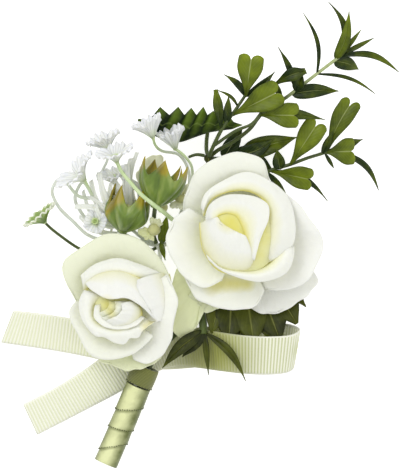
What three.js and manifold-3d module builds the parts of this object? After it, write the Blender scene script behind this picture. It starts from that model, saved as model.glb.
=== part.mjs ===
// A boutonniere lying on its back: two roses, greenery, small florets and a ribbon on a wrapped handle.
// Millimetres, +Z up. Plan places are written on a grid of small squares, x to the right and y downwards.
import * as THREE from "three";
import { mergeVertices } from "three/addons/utils/BufferGeometryUtils.js";
import Module from "manifold-3d";

// Driving dimensions, in millimetres
const GRID_SQUARE = 0.25;
const GRID_MIDDLE = { x: 200.5, y: 234.5 };
const PETAL_THICKNESS = 0.7;
const LEAF_THICKNESS = 0.62;
const FLORET_THICKNESS = 0.6;
const SEAT_GAP = 0.3;
const SMALLEST_EDGE = 0.05;
const RIBBON_WIDTH = 10;
const RIBBON_THICKNESS = 0.6;
const ROSE_STEM_RADIUS = 0.6;
const GREEN_STEM_RADIUS = 0.55;
const TWIG_RADIUS = 0.42;
const CURL_RADIUS = 0.36;
const BUNDLE_RING = 1.1;
const WRAP_BORE = 2.0;
const WRAP_RADIUS_LOW = 3.0;
const WRAP_RADIUS_TOP = 3.3;
const TIE_RADIUS = 3.5;
const HANDLE_REST_HEIGHT = 2.8;
const NECK_HEIGHT = 5.5;

const wasm = await Module();
wasm.setup();

const spot = (x, y, z) =>
  new THREE.Vector3((x - GRID_MIDDLE.x) * GRID_SQUARE, (GRID_MIDDLE.y - y) * GRID_SQUARE, z);
const spots = (list) => list.map(([x, y, z]) => spot(x, y, z));
const UP = new THREE.Vector3(0, 0, 1);

// Solids from triangles and from three.js geometry

function solidFromIndexed(positions, triangles) {
  const build = (list) =>
    new wasm.Manifold(
      new wasm.Mesh({
        numProp: 3,
        vertProperties: new Float32Array(positions),
        triVerts: new Uint32Array(list),
      }),
    );
  const made = build(triangles);
  if (made.volume() > 0) return made;
  const turned = [];
  for (let i = 0; i < triangles.length; i += 3) {
    turned.push(triangles[i], triangles[i + 2], triangles[i + 1]);
  }
  return build(turned);
}

function solidFromGeometry(geometry) {
  const plain = geometry.clone();
  plain.deleteAttribute("normal");
  plain.deleteAttribute("uv");
  const merged = mergeVertices(plain, 1e-4);
  return solidFromIndexed(merged.attributes.position.array, Array.from(merged.index.array));
}

const union = (solids) => solids.reduce((sum, next) => sum.add(next));

// The outer body alone: a hollow that joining sealed inside is filled
function filled(solid) {
  const bodies = solid.decompose();
  return bodies.reduce((most, body) => (body.volume() > most.volume() ? body : most));
}

// A closed skin of even thickness round a grid of points; both faces are split into triangles alike.
function skin(grid, thickness) {
  const rows = grid.length;
  const columns = grid[0].length;
  const positions = [];
  const at = (i, j) => grid[Math.min(Math.max(i, 0), rows - 1)][Math.min(Math.max(j, 0), columns - 1)];
  for (const side of [1, -1]) {
    for (let i = 0; i < rows; i++) {
      for (let j = 0; j < columns; j++) {
        const along = at(i + 1, j).clone().sub(at(i - 1, j));
        const across = at(i, j + 1).clone().sub(at(i, j - 1));
        const normal = along.cross(across).normalize();
        const place = grid[i][j].clone().addScaledVector(normal, (side * thickness) / 2);
        positions.push(place.x, place.y, place.z);
      }
    }
  }
  const front = (i, j) => i * columns + j;
  const back = (i, j) => rows * columns + front(i, j);
  const triangles = [];
  for (let i = 0; i < rows - 1; i++) {
    for (let j = 0; j < columns - 1; j++) {
      const corners = [[i, j], [i + 1, j], [i + 1, j + 1], [i, j + 1]];
      const [a, b, c, d] = corners.map(([p, q]) => front(p, q));
      const [e, f, g, h] = corners.map(([p, q]) => back(p, q));
      triangles.push(a, b, c, a, c, d, e, g, f, e, h, g);
    }
  }
  const rim = [];
  for (let i = 0; i < rows - 1; i++) rim.push([i, 0]);
  for (let j = 0; j < columns - 1; j++) rim.push([rows - 1, j]);
  for (let i = rows - 1; i > 0; i--) rim.push([i, columns - 1]);
  for (let j = columns - 1; j > 0; j--) rim.push([0, j]);
  rim.forEach((here, k) => {
    const next = rim[(k + 1) % rim.length];
    const [p, q] = [front(...here), front(...next)];
    const [r, s] = [back(...here), back(...next)];
    triangles.push(r, s, q, r, q, p);
  });
  return solidFromIndexed(positions, triangles);
}

// What the solid rests on is cut flat at height 0
function onSurface(solid) {
  const below = new THREE.BoxGeometry(200, 200, 10).translate(0, 0, -5);
  return solid.subtract(solidFromGeometry(below));
}

// A round stem along a smooth curve through the points
function stem(points, radius, sides = 5, steps = 0) {
  const curve = new THREE.CatmullRomCurve3(points, false, "centripetal");
  const outline = new THREE.Shape(
    Array.from({ length: sides }, (_, k) => {
      const angle = (k / sides) * 2 * Math.PI;
      return new THREE.Vector2(radius * Math.cos(angle), radius * Math.sin(angle));
    }),
  );
  const options = {
    steps: steps || Math.round((points.length - 1) * 1.6),
    bevelEnabled: false,
    extrudePath: curve,
  };
  return solidFromGeometry(new THREE.ExtrudeGeometry(outline, options));
}

// The turn that brings three.js's own upright axis, +Y, to a direction
const turnFromUp = (direction) =>
  new THREE.Quaternion().setFromUnitVectors(new THREE.Vector3(0, 1, 0), direction.clone().normalize());

// A turned solid standing on the point, from a profile of [radius, height]
function turned(profile, place, direction = UP, sides = 12) {
  const geometry = new THREE.LatheGeometry(profile.map(([r, h]) => new THREE.Vector2(r, h)), sides);
  geometry.applyQuaternion(turnFromUp(direction)).translate(place.x, place.y, place.z);
  return solidFromGeometry(geometry);
}

const ball = (place, radius) =>
  turned(
    Array.from({ length: 7 }, (_, k) => {
      const angle = (k / 6 - 0.5) * Math.PI;
      return [k % 6 ? radius * Math.cos(angle) : 0, radius * Math.sin(angle)];
    }),
    place,
    UP,
    10,
  );

// Leaves. An outline gives, for t along the leaf and s across it, how far along and across the point lies.

const lance = {
  columns: [-1, 0, 1],
  rows: 3,
  reach: (t) => t,
  half: (t) => 0.12 + 0.88 * Math.sin(Math.PI * t ** 0.8),
  tipHalf: 0.06,
};
const broadLance = { ...lance, rows: 4, half: (t) => 0.14 + 0.86 * Math.sin(Math.PI * t ** 0.65) ** 0.8 };
const sepal = {
  ...lance,
  rows: 4,
  half: (t) => 0.2 + 0.8 * Math.sin(Math.PI * t ** 1.5) ** 0.7,
  tipHalf: 0.2,
};
const strap = {
  ...lance,
  columns: [-1, 1],
  half: (t) => 0.4 + 0.6 * Math.sin(Math.PI * t ** 0.9),
  tipHalf: 0.15,
};
const twoLobed = {
  columns: [-1, -0.55, 0, 0.55, 1],
  rows: 3,
  lobes: [0.8, 1, 0.8, 1, 0.8],
  reach: (t, s) => {
    const k = twoLobed.columns.indexOf(s);
    return t * (1 + (twoLobed.lobes[k] - 1) * t);
  },
  half: (t) => 0.12 + 0.88 * (0.5 - 0.5 * Math.cos(Math.PI * Math.min(1, t / 0.78))),
  tipHalf: 0.9,
};
const spoon = {
  ...lance,
  rows: 4,
  reach: (t, s) => t * (1 - 0.08 * t * Math.abs(s)),
  half: (t) => 0.24 + 0.76 * Math.sin(Math.PI * Math.min(0.9, t ** 1.6)),
  tipHalf: 0.45,
};

function leaf({ base, tip, width, outline = lance, bow = 0, arch = 0.08, roll = 0, fold = 0.25 }) {
  const start = spot(...base);
  const run = spot(...tip).sub(start);
  const length = run.length();
  const ahead = run.clone().normalize();
  const side = new THREE.Vector3().crossVectors(ahead, UP).normalize();
  side.applyAxisAngle(ahead, THREE.MathUtils.degToRad(roll));
  const face = new THREE.Vector3().crossVectors(side, ahead).normalize();
  const grid = [];
  for (let i = 0; i <= outline.rows; i++) {
    const t = i / outline.rows;
    const half = i === outline.rows ? outline.tipHalf : outline.half(t);
    grid.push(
      outline.columns.map((s) => {
        const along = outline.reach(t, s);
        const hump = Math.sin(Math.PI * along);
        return start
          .clone()
          .addScaledVector(ahead, along * length)
          .addScaledVector(side, bow * length * hump + (s * half * width) / 2)
          .addScaledVector(face, arch * length * hump + (fold * Math.abs(s) * half * width) / 2);
      }),
    );
  }
  return skin(grid, LEAF_THICKNESS);
}

// Petals. Each one climbs from the foot of the bloom to its rim line; reach and lift shape the belly.

function petal(bloom, { rim, reach, lift, columns = 5, rows = 3 }) {
  const curve = new THREE.CatmullRomCurve3(spots(rim), false, "centripetal");
  const edge = curve.getSpacedPoints(columns);
  const foot = spot(...bloom.foot);
  const belly = (point, out, up) =>
    new THREE.Vector3(
      foot.x + (point.x - foot.x) * out,
      foot.y + (point.y - foot.y) * out,
      foot.z + (point.z - foot.z) * up,
    );
  const middle = edge[Math.floor(columns / 2)].clone().sub(foot).setZ(0).normalize();
  const grid = [];
  for (let i = 0; i <= rows; i++) {
    const v = i / rows;
    grid.push(
      edge.map((point) => {
        const towards = point.clone().sub(foot).setZ(0).normalize().add(middle).normalize();
        const root = foot.clone().addScaledVector(towards, bloom.rootRadius);
        root.z += bloom.rootHeight;
        const bend = new THREE.CubicBezierCurve3(
          root,
          belly(point, reach[0], lift[0]),
          belly(point, reach[1], lift[1]),
          point,
        );
        return bend.getPoint(v);
      }),
    );
  }
  return skin(grid, PETAL_THICKNESS);
}

// An inner petal lies over the mound of the bloom. Its lines run from its hidden base to its free edge, and
// each point has a plan place and a height over the mound.
function fold({ peak, fall, middle }, { lines, columns = 5, rows = 3 }) {
  const smooth = (points, count) =>
    new THREE.CatmullRomCurve3(points, false, "centripetal").getSpacedPoints(count);
  const top = spot(...middle, 0);
  const across = lines.map((line) => smooth(spots(line), columns));
  const rails = across[0].map((_, k) => smooth(across.map((line) => line[k]), rows));
  const grid = [];
  for (let i = 0; i <= rows; i++) {
    grid.push(
      rails.map((rail) => {
        const away = (rail[i].x - top.x) ** 2 + (rail[i].y - top.y) ** 2;
        return rail[i].clone().setZ(rail[i].z + peak - fall * away);
      }),
    );
  }
  return skin(grid, PETAL_THICKNESS);
}

function bloomBody(bloom) {
  const outer = bloom.petals.map((each) => petal(bloom, each));
  const inner = (bloom.folds || []).map((each) => fold(bloom.mound, each));
  return filled(union([turned(bloom.core, spot(...bloom.foot)), ...outer, ...inner]));
}

const OPEN = { reach: [0.38, 0.8], lift: [0.55, 1.05] };
const FLAT = { reach: [0.45, 0.8], lift: [0.4, 1.0] };

const largeRose = {
  foot: [240, 236, 8],
  rootRadius: 1.6,
  rootHeight: 0.8,
  core: [[0, 0], [3.2, 0], [6.5, 6], [9.5, 13], [7.6, 15.9], [4, 17.2], [0, 17.8]],
  petals: [
    {
      ...OPEN,
      rim: [
        [183, 218, 15], [185, 198, 18], [198, 172, 20], [216, 159, 20.5], [240, 153, 20], [262, 160, 19],
        [270, 184, 17],
      ],
    },
    {
      ...OPEN,
      rim: [
        [270, 186, 18], [290, 197, 19], [309, 218, 18.5], [323, 243, 16], [315, 266, 15.5],
        [297, 285, 14.5], [266, 290, 14],
      ],
    },
    { ...FLAT, rim: [[306, 262, 10], [317, 281, 10.5], [296, 302, 11], [274, 314, 10.5], [250, 306, 10]] },
    {
      ...OPEN,
      rim: [
        [181, 270, 14], [196, 295, 14.5], [222, 307, 14.5], [243, 308, 14.5], [258, 303, 14],
        [264, 288, 14],
      ],
    },
    { ...FLAT, rim: [[190, 293, 9.3], [199, 305, 9.2], [208, 311, 9.2], [218, 307, 9.3], [227, 299, 9.5]] },
    {
      ...FLAT,
      rim: [
        [178, 264, 10.8], [172, 296, 9.8], [173, 327, 9.4], [183, 338, 9.2], [197, 325, 9.2],
        [201, 306, 9.2],
      ],
    },
    {
      ...OPEN,
      rim: [
        [190, 208, 20], [173, 221, 20.5], [167, 238, 20], [174, 259, 19], [188, 278, 18], [206, 286, 17.5],
        [222, 280, 18],
      ],
    },
  ],
  mound: { peak: 27.2, fall: 0.031, middle: [240, 234] },
  folds: [
    {
      lines: [
        [
          [204, 216, -3], [212, 200, -3], [230, 192, -3], [250, 192, -3], [264, 202, -3], [266, 222, -3],
          [260, 244, -3], [250, 262, -3],
        ],
        [
          [203, 213, -1.3], [211, 196, -1.1], [230, 187, -0.9], [252, 188, -0.9], [269, 199, -1],
          [273, 222, -1.2], [268, 244, -1.5], [256, 264, -1.8],
        ],
        [
          [203, 210, -0.4], [211, 192, 0.1], [230, 182, 0.3], [251, 180, 0.3], [272, 191, 0.2],
          [283, 214, -0.1], [281, 238, -0.5], [272, 260, -0.9],
        ],
        [
          [201, 208, -0.5], [206, 194, 0.2], [224, 181, 0.5], [247, 172.5, 0.6], [269, 181, 0.5],
          [286, 195, 0.3], [293, 214, 0], [294, 236, -0.4], [288, 254, -0.9],
        ],
      ],
      columns: 8,
    },
    {
      lines: [
        [[206, 248, -3], [218, 262, -3], [240, 268, -3], [262, 266, -3], [278, 254, -3], [282, 240, -3]],
        [
          [206, 252, -1.4], [220, 266, -1.1], [241, 271.5, -0.9], [261, 270, -1.2], [279, 257, -1],
          [287, 244, -1],
        ],
        [
          [207, 255, -0.4], [221, 268, 0.1], [241, 274, 0.4], [262, 275, 0.6], [282, 265, 0.6],
          [290, 247, 0.2],
        ],
        [
          [208, 257, -0.6], [222, 269, 0], [240, 276, 0.4], [262, 280, 0.6], [285, 272, 0.6],
          [292, 259, 0.3], [293, 246, 0],
        ],
      ],
      columns: 7,
    },
    {
      lines: [
        [[200, 222, -3], [204, 250, -3], [220, 270, -3], [246, 272, -3], [262, 262, -3]],
        [[203, 222, -1.1], [208, 248, -1.1], [223, 264, -0.7], [245, 267, -0.7], [258, 259, -0.9]],
        [[207, 219, -0.1], [214, 239, 0], [227, 253, 0.1], [244, 259, 0], [256, 253, -0.2]],
        [[216, 216, -0.3], [222, 223, -0.1], [231, 229, -0.1], [241, 234, -0.1], [252, 238, -0.4]],
      ],
      columns: 6,
    },
    {
      lines: [
        [
          [215, 222, -0.8], [219, 215.5, -0.8], [227, 213, -0.7], [236, 216, -0.6], [241, 224, -0.5],
          [245, 235, -0.4], [249, 247, -0.5], [252, 259, -0.9],
        ],
        [
          [209, 223, 0], [213, 210, 0], [226, 202, 0.1], [243, 201, 0.3], [255, 209, 0.5],
          [258, 226, 0.65], [255, 243, 0.55], [253.5, 259, 0.2],
        ],
        [
          [206, 223, -0.8], [209, 207, -0.8], [222, 197, -0.6], [241, 195, -0.2], [257, 198, 0.3],
          [267, 205, 0.6], [268, 217, 0.8], [262, 232, 0.7], [257, 246, 0.6], [254, 260, 0.2],
        ],
      ],
      columns: 8,
      rows: 2,
    },
  ],
};

const smallRose = {
  foot: [118, 308, 7],
  rootRadius: 1.4,
  rootHeight: 0.8,
  core: [[0, 0], [2.8, 0], [4.4, 5], [6.4, 9], [5, 11.2], [2.6, 12.2], [0, 12.6]],
  petals: [
    {
      ...OPEN,
      rim: [
        [78, 302, 12.5], [68, 282, 14], [66, 262, 15], [80, 250, 15.5], [110, 233, 16], [143, 241, 15.5],
        [163, 262, 14.5], [171, 282, 13.5],
      ],
    },
    {
      ...OPEN,
      rim: [
        [168, 273, 16.5], [175, 288, 17], [177, 304, 17], [174, 321, 16.5], [172, 338, 15], [163, 353, 13],
        [149, 362, 12], [134, 357, 11.5],
      ],
    },
    {
      ...OPEN,
      rim: [
        [78, 300, 13.5], [71, 310, 14], [80, 333, 14.5], [89, 351, 14.5], [104, 358, 14.5],
        [120, 356, 14.5], [134, 352, 14.5], [146, 343, 15], [153, 334, 15.5],
      ],
    },
    {
      ...FLAT,
      rim: [
        [92, 350, 9.6], [103, 361, 9.8], [120, 366, 10], [138, 368.5, 10], [153, 364, 10], [162, 355, 9.8],
      ],
    },
  ],
  mound: { peak: 21, fall: 0.036, middle: [118, 300] },
  folds: [
    {
      lines: [
        [[86, 292, -3], [98, 280, -3], [119, 275, -3], [139, 280, -3], [156, 292, -3]],
        [[84, 284, -1], [98, 274, -0.8], [119, 270, -0.6], [138, 274, -0.7], [158, 283, -1]],
        [
          [82, 275, -0.2], [97, 264, 0.3], [119, 258.5, 0.4], [137, 263, 0.4], [155, 270, 0.3],
          [165, 275, 0],
        ],
      ],
      columns: 6,
      rows: 2,
    },
    {
      lines: [
        [[106, 296, -3], [97, 304, -3], [98, 318, -3], [112, 324, -3], [130, 323, -3], [143, 314, -3]],
        [
          [98, 292, -1], [92, 304, -0.8], [94, 320, -0.7], [109, 328, -0.6], [131, 327, -0.7],
          [148, 317, -1],
        ],
        [
          [86, 289, -0.3], [81, 302, 0], [84, 318, 0.2], [93, 330, 0.3], [98, 334, 0.8], [106, 335, 0.4],
          [117, 341, 0.8], [126, 342, 0.4], [131, 336, 0.8], [139, 336, 0.4], [143, 329, 0.6],
          [156, 320, 0.3],
        ],
      ],
      columns: 9,
      rows: 2,
    },
    {
      lines: [
        [[104, 302, -2.4], [103, 312, -2.4], [113, 319, -2.4], [128, 319, -2.4], [138, 312, -2.4]],
        [[101, 303, -0.9], [101, 314, -0.7], [112, 322, -0.6], [129, 322, -0.6], [141, 314, -0.9]],
        [[97, 304, 0], [97, 317, 0.1], [111, 326, 0.2], [131, 326, 0.2], [146, 316, 0]],
      ],
      rows: 2,
    },
    {
      lines: [
        [[107, 310, -2], [114, 304, -2], [124, 304, -2], [132, 311, -2]],
        [[107, 308, -0.7], [114, 302, -0.5], [125, 302, -0.4], [134, 310, -0.7]],
        [[106, 304, 0], [113, 299, 0.2], [121, 300, 0.5], [128, 298, 0.2], [139, 309, 0.1]],
      ],
      columns: 4,
      rows: 2,
    },
    {
      lines: [
        [[133, 304, -2], [137, 312, -2], [130, 320, -2], [118, 321, -2]],
        [[130, 303, -0.6], [134, 311, -0.4], [128, 317, -0.4], [117, 318, -0.6]],
        [[124, 304, 0.3], [127, 310, 0.6], [122, 313, 0.6], [114, 315, 0.2]],
      ],
      columns: 4,
      rows: 2,
    },
    {
      lines: [
        [[88, 282, -2], [102, 272, -2], [120, 269, -2], [137, 274, -2], [152, 282, -2]],
        [[87, 283, -0.6], [102, 274, -0.2], [120, 272, 0], [136, 278, 0], [151, 290, -0.2]],
        [[88, 283.5, 0.1], [103, 281, 0.6], [121, 282, 0.8], [136, 289, 0.7], [149, 304, 0.4]],
        [
          [88, 284, -0.1], [97, 291, 0.4], [110, 297, 0.6], [127, 296, 0.7], [143, 305, 0.6],
          [158, 321, 0.3],
        ],
      ],
      columns: 6,
    },
    {
      lines: [
        [[169, 282, -2.9], [172, 293, -2.8], [171, 308, -2.5], [164, 322, -2.5]],
        [[164, 278, -0.2], [168, 291, 0], [167, 306, 0], [162, 321, -0.4]],
        [[150, 278.5, 0.7], [157, 291, 1], [160, 306, 0.9], [160, 320, 0.3]],
        [[135, 281, 0.4], [142, 293, 0.7], [151, 307, 0.7], [158, 321, 0.3]],
      ],
      columns: 4,
    },
  ],
};

// Handle: the stems run down inside a wrap, with a ribbed tie band at the neck.

const handleLine = [
  [106, 463, HANDLE_REST_HEIGHT],
  [113, 447, HANDLE_REST_HEIGHT],
  [121, 428, HANDLE_REST_HEIGHT + 0.2],
  [130, 407, HANDLE_REST_HEIGHT + 1.3],
  [139, 385, NECK_HEIGHT - 0.5],
  [147, 366, NECK_HEIGHT],
];
const handlePoints = spots(handleLine);

function handleDirection(point) {
  const k = handlePoints.indexOf(point);
  const before = handlePoints[Math.max(k - 1, 0)];
  const after = handlePoints[Math.min(k + 1, handlePoints.length - 1)];
  return after.clone().sub(before).normalize();
}

// A sleeve from one handle point to another: rings of points, outside and inside, closed at both ends
function sleeve(points, outerRadii, innerRadius, sides = 12) {
  const ring = (point, radius) => {
    const ahead = handleDirection(point);
    const side = new THREE.Vector3().crossVectors(ahead, UP).normalize();
    const rise = new THREE.Vector3().crossVectors(side, ahead);
    return Array.from({ length: sides + 1 }, (_, k) => {
      const angle = (k / sides) * 2 * Math.PI;
      return point
        .clone()
        .addScaledVector(side, radius * Math.cos(angle))
        .addScaledVector(rise, radius * Math.sin(angle));
    });
  };
  const rings = [
    ...points.map((point, k) => ring(point, outerRadii[k])),
    ...[...points].reverse().map((point) => ring(point, innerRadius)),
  ];
  rings.push(rings[0]);
  const positions = [];
  const triangles = [];
  const count = rings.length - 1;
  for (let i = 0; i < count; i++) {
    for (let k = 0; k < sides; k++) positions.push(rings[i][k].x, rings[i][k].y, rings[i][k].z);
  }
  const number = (i, k) => (i % count) * sides + (k % sides);
  for (let i = 0; i < count; i++) {
    for (let k = 0; k < sides; k++) {
      const [a, b] = [number(i, k), number(i + 1, k)];
      const [c, d] = [number(i + 1, k + 1), number(i, k + 1)];
      triangles.push(a, b, c, a, c, d);
    }
  }
  return solidFromIndexed(positions, triangles);
}

function stemWrap() {
  const points = handlePoints.slice(0, 5);
  const radii = points.map((_, k) => THREE.MathUtils.lerp(WRAP_RADIUS_LOW, WRAP_RADIUS_TOP, k / 4));
  return onSurface(sleeve(points, radii, WRAP_BORE));
}

function tieBand() {
  const [low, high] = handlePoints.slice(4);
  const lift = high.clone().sub(low).normalize().multiplyScalar(SEAT_GAP);
  const start = low.clone().add(lift);
  const ahead = high.clone().sub(low);
  const band = new THREE.CylinderGeometry(TIE_RADIUS, TIE_RADIUS, ahead.length() - SEAT_GAP, 12);
  const bore = new THREE.CylinderGeometry(WRAP_BORE, WRAP_BORE, ahead.length() + 4, 12);
  const middle = start.add(high).multiplyScalar(0.5);
  for (const each of [band, bore]) {
    each.applyQuaternion(turnFromUp(ahead)).translate(middle.x, middle.y, middle.z);
  }
  return solidFromGeometry(band).subtract(solidFromGeometry(bore));
}

// One of the four stems inside the handle, from its cut end to the neck
function bundleStem(quarter) {
  const angle = (quarter + 0.5) * (Math.PI / 2);
  return handlePoints.map((point, k) => {
    const ahead = handleDirection(point);
    const side = new THREE.Vector3().crossVectors(ahead, UP).normalize();
    const rise = new THREE.Vector3().crossVectors(side, ahead);
    return point
      .clone()
      .addScaledVector(side, BUNDLE_RING * Math.cos(angle))
      .addScaledVector(rise, BUNDLE_RING * Math.sin(angle))
      .addScaledVector(ahead, k ? 0 : 1);
  });
}

// Roses: calyx, sepals and stem under each bloom

function calyx(bloom, depth, sepals) {
  const foot = spot(...bloom.foot);
  const base = foot.clone().setZ(foot.z - SEAT_GAP - depth);
  const cup = turned([[0, 0], [0.8, 0], [1.8, depth * 0.4], [3.6, depth], [0, depth]], base);
  const shape = { width: 2.6, outline: lance, arch: 0.02, fold: 0.15 };
  return [cup, ...sepals.map((each) => leaf({ ...shape, ...each }))];
}

function largeCalyx() {
  const sepals = [
    { base: [249, 240, 6.8], tip: [304, 305, 8.6], width: 4.6, outline: sepal },
    { base: [247, 241, 6.8], tip: [292, 320, 8.8], width: 6.4, outline: sepal },
    { base: [244, 243, 6.7], tip: [276, 333, 9], width: 7.6, outline: sepal },
    { base: [240, 244, 6.6], tip: [252, 335, 9.2], width: 7.6, outline: sepal },
    { base: [236, 243, 6.6], tip: [229, 334, 9.2], width: 7, outline: sepal },
    { base: [234, 242, 6.6], tip: [214, 325, 8.8], width: 5, outline: sepal },
  ].map((each) => ({ arch: -0.03, fold: 0.05, ...each }));
  const climb = spots([[170, 340, 4.8], [190, 320, 4.2], [213, 282, 3.4], [232, 247, 3.2], [240, 237, 4]]);
  const stalk = stem([...bundleStem(3), ...climb], ROSE_STEM_RADIUS, 5, 12);
  return union([...calyx(largeRose, 5, sepals), stalk]);
}

function smallCalyx() {
  const sepals = [
    { base: [112, 310, 5.4], tip: [92, 326, 6.6] },
    { base: [112, 304, 5.4], tip: [92, 286, 6.6] },
    { base: [121, 302, 5.4], tip: [132, 276, 6.4] },
    { base: [119, 314, 5.4], tip: [112, 338, 6.4] },
  ];
  const climb = spots([[151, 348, 5.2], [138, 333, 4.4], [125, 317, 3.6], [118, 309, 3.8]]);
  const stalk = stem([...bundleStem(2), ...climb], ROSE_STEM_RADIUS, 5, 11);
  return union([...calyx(smallRose, 4, sepals), stalk]);
}

// Greenery

const whorl = spot(209, 158, 8.5);
const WHORL_RADIUS = 1.2;

function greenStem() {
  const climb = spots([
    [172, 335, 6.6], [183, 305, 6.2], [190, 262, 5.4], [198, 215, 5.6], [205, 180, 7.4],
  ]);
  const stalk = stem([...bundleStem(0), ...climb, whorl], GREEN_STEM_RADIUS, 5, 13);
  return union([stalk, ball(whorl, WHORL_RADIUS)]);
}

const clearOfWhorl = (solid) => solid.subtract(ball(whorl, WHORL_RADIUS + SEAT_GAP));

function longSpray() {
  const line = spots([
    [209, 158, 8.6], [217, 151, 9.6], [233, 142, 10], [250, 129, 9.6], [262, 114, 9], [287, 97, 7.5],
    [300, 87, 6.6], [318, 73, 5.6], [335, 60, 4.8], [345, 52, 4.8],
  ]);
  const leaves = [
    { base: [340, 56, 4.8], tip: [328, 2, 9], width: 1.9, bow: 0.16, roll: 25 },
    { base: [336, 59, 4.8], tip: [349, 11, 8.5], width: 2.9, bow: 0.07, outline: broadLance },
    { base: [341, 55, 4.8], tip: [361, 30, 7.5], width: 1.3, outline: strap },
    { base: [341, 55, 4.8], tip: [374, 38, 5], width: 1.3, outline: strap },
    { base: [340, 56, 4.8], tip: [399, 72, 3.4], width: 1.7, bow: -0.15, outline: strap },
    { base: [334, 61, 4.8], tip: [359, 69, 0.2], width: 3.6, bow: -0.06, outline: broadLance },
    { base: [317, 74, 5.6], tip: [303, 13, 8], width: 1.1, bow: 0.12, outline: strap },
    { base: [317, 74, 5.6], tip: [376, 94, 3.2], width: 1, bow: -0.1, outline: strap },
    { base: [292, 94, 7], tip: [339, 91, 5.2], width: 3.7, bow: -0.04, outline: broadLance },
    { base: [296, 90, 7], tip: [278, 47, 9.5], width: 1.7, bow: 0.05 },
    { base: [296, 91, 7], tip: [303, 73, 9.2], width: 3, fold: 0.5 },
    { base: [276, 84, 8], tip: [306, 71, 9.8], width: 3.6, bow: -0.06, outline: spoon },
    { base: [281, 101, 7.8], tip: [276, 82, 8.6], width: 1.6, outline: strap },
  ];
  return onSurface(clearOfWhorl(union([stem(line, GREEN_STEM_RADIUS, 5, 12), ...leaves.map(leaf)])));
}

function middleSpray() {
  const line = spots([
    [209, 158, 8.6], [212, 150, 11], [223, 128, 12.6], [233, 114, 12.8], [240, 104, 13], [246, 95, 13.2],
  ]);
  const fork = spots([[214, 146, 11.4], [236, 131, 12.6], [252, 124, 13.4], [262, 112, 13.6]]);
  const leaves = [
    { base: [246, 97, 13.2], tip: [252, 55, 15.5], width: 6.2, outline: twoLobed },
    { base: [246, 97, 13], tip: [224, 75, 14], width: 1.8, bow: 0.1 },
    { base: [246, 97, 13], tip: [275, 72, 13.5], width: 2.2, bow: 0.05 },
    { base: [233, 115, 12.8], tip: [281, 91, 15], width: 6.6, outline: twoLobed, fold: 0.4 },
    { base: [259, 115, 13.5], tip: [299, 116, 14.6], width: 6, outline: twoLobed, fold: 0.35 },
    { base: [260, 115, 13.4], tip: [325, 120, 11.4], width: 2.9, bow: -0.05 },
    { base: [222, 130, 12.5], tip: [216, 90, 15], width: 2.6, outline: spoon },
    { base: [227, 123, 12.7], tip: [229, 96, 14.2], width: 2.2, outline: broadLance },
    { base: [238, 107, 12.9], tip: [218, 91, 15.6], width: 0.9, outline: strap, bow: 0.12 },
  ];
  const twigs = [stem(line, GREEN_STEM_RADIUS, 5, 10), stem(fork, TWIG_RADIUS, 5, 6)];
  return clearOfWhorl(union([...twigs, ...leaves.map(leaf)]));
}

function broadLeaves() {
  const line = spots([[209, 158, 8.4], [222, 158, 6.6], [240, 153, 5.4], [252, 149, 5]]);
  const leaves = [
    { base: [243, 152, 5.2], tip: [297, 137, 5], width: 5.2, outline: broadLance, fold: 0.3 },
    { base: [232, 155, 6], tip: [275, 138, 6.6], width: 4.2, bow: 0.1, outline: broadLance },
    { base: [243, 153, 5.2], tip: [274, 171, 3.2], width: 4.4, outline: broadLance },
    { base: [224, 158, 6.5], tip: [243, 127, 7], width: 4, outline: broadLance },
  ];
  return clearOfWhorl(union([stem(line, GREEN_STEM_RADIUS, 5, 6), ...leaves.map(leaf)]));
}

function lowSpray() {
  const line = spots([
    [212, 190, 6.4], [228, 188, 5.2], [250, 180, 5], [271, 170, 6], [291, 164, 7], [307, 158, 7.2],
    [323, 153, 7], [336, 148, 6.8],
  ]);
  const leaves = [
    { base: [290, 165, 7.1], tip: [319, 121, 10], width: 5.8, outline: twoLobed },
    { base: [327, 152, 7], tip: [353, 100, 10], width: 5.2, outline: twoLobed, bow: -0.04 },
    { base: [325, 152, 7], tip: [355, 151, 7.2], width: 6.4, outline: twoLobed, fold: 0.2 },
    { base: [322, 154, 7], tip: [334, 129, 9.6], width: 1.9 },
    { base: [334, 149, 6.8], tip: [363, 139, 6], width: 2.6 },
    { base: [332, 150, 6.8], tip: [379, 190, 0.2], width: 1.6, bow: -0.15, outline: strap },
    { base: [325, 153, 6.9], tip: [334, 168, 5.5], width: 1, outline: strap },
    { base: [272, 171, 6.2], tip: [313, 180, 8], width: 5.4, outline: twoLobed, fold: 0.45 },
    { base: [276, 170, 6], tip: [328, 201, 4.4], width: 1.6, bow: -0.12 },
    { base: [280, 169, 6.5], tip: [277, 149, 7.6], width: 3.2, outline: broadLance },
    { base: [268, 172, 5.9], tip: [288, 196, 4.4], width: 1.7 },
  ];
  return onSurface(union([stem(line, GREEN_STEM_RADIUS, 5, 12), ...leaves.map(leaf)]));
}

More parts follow.
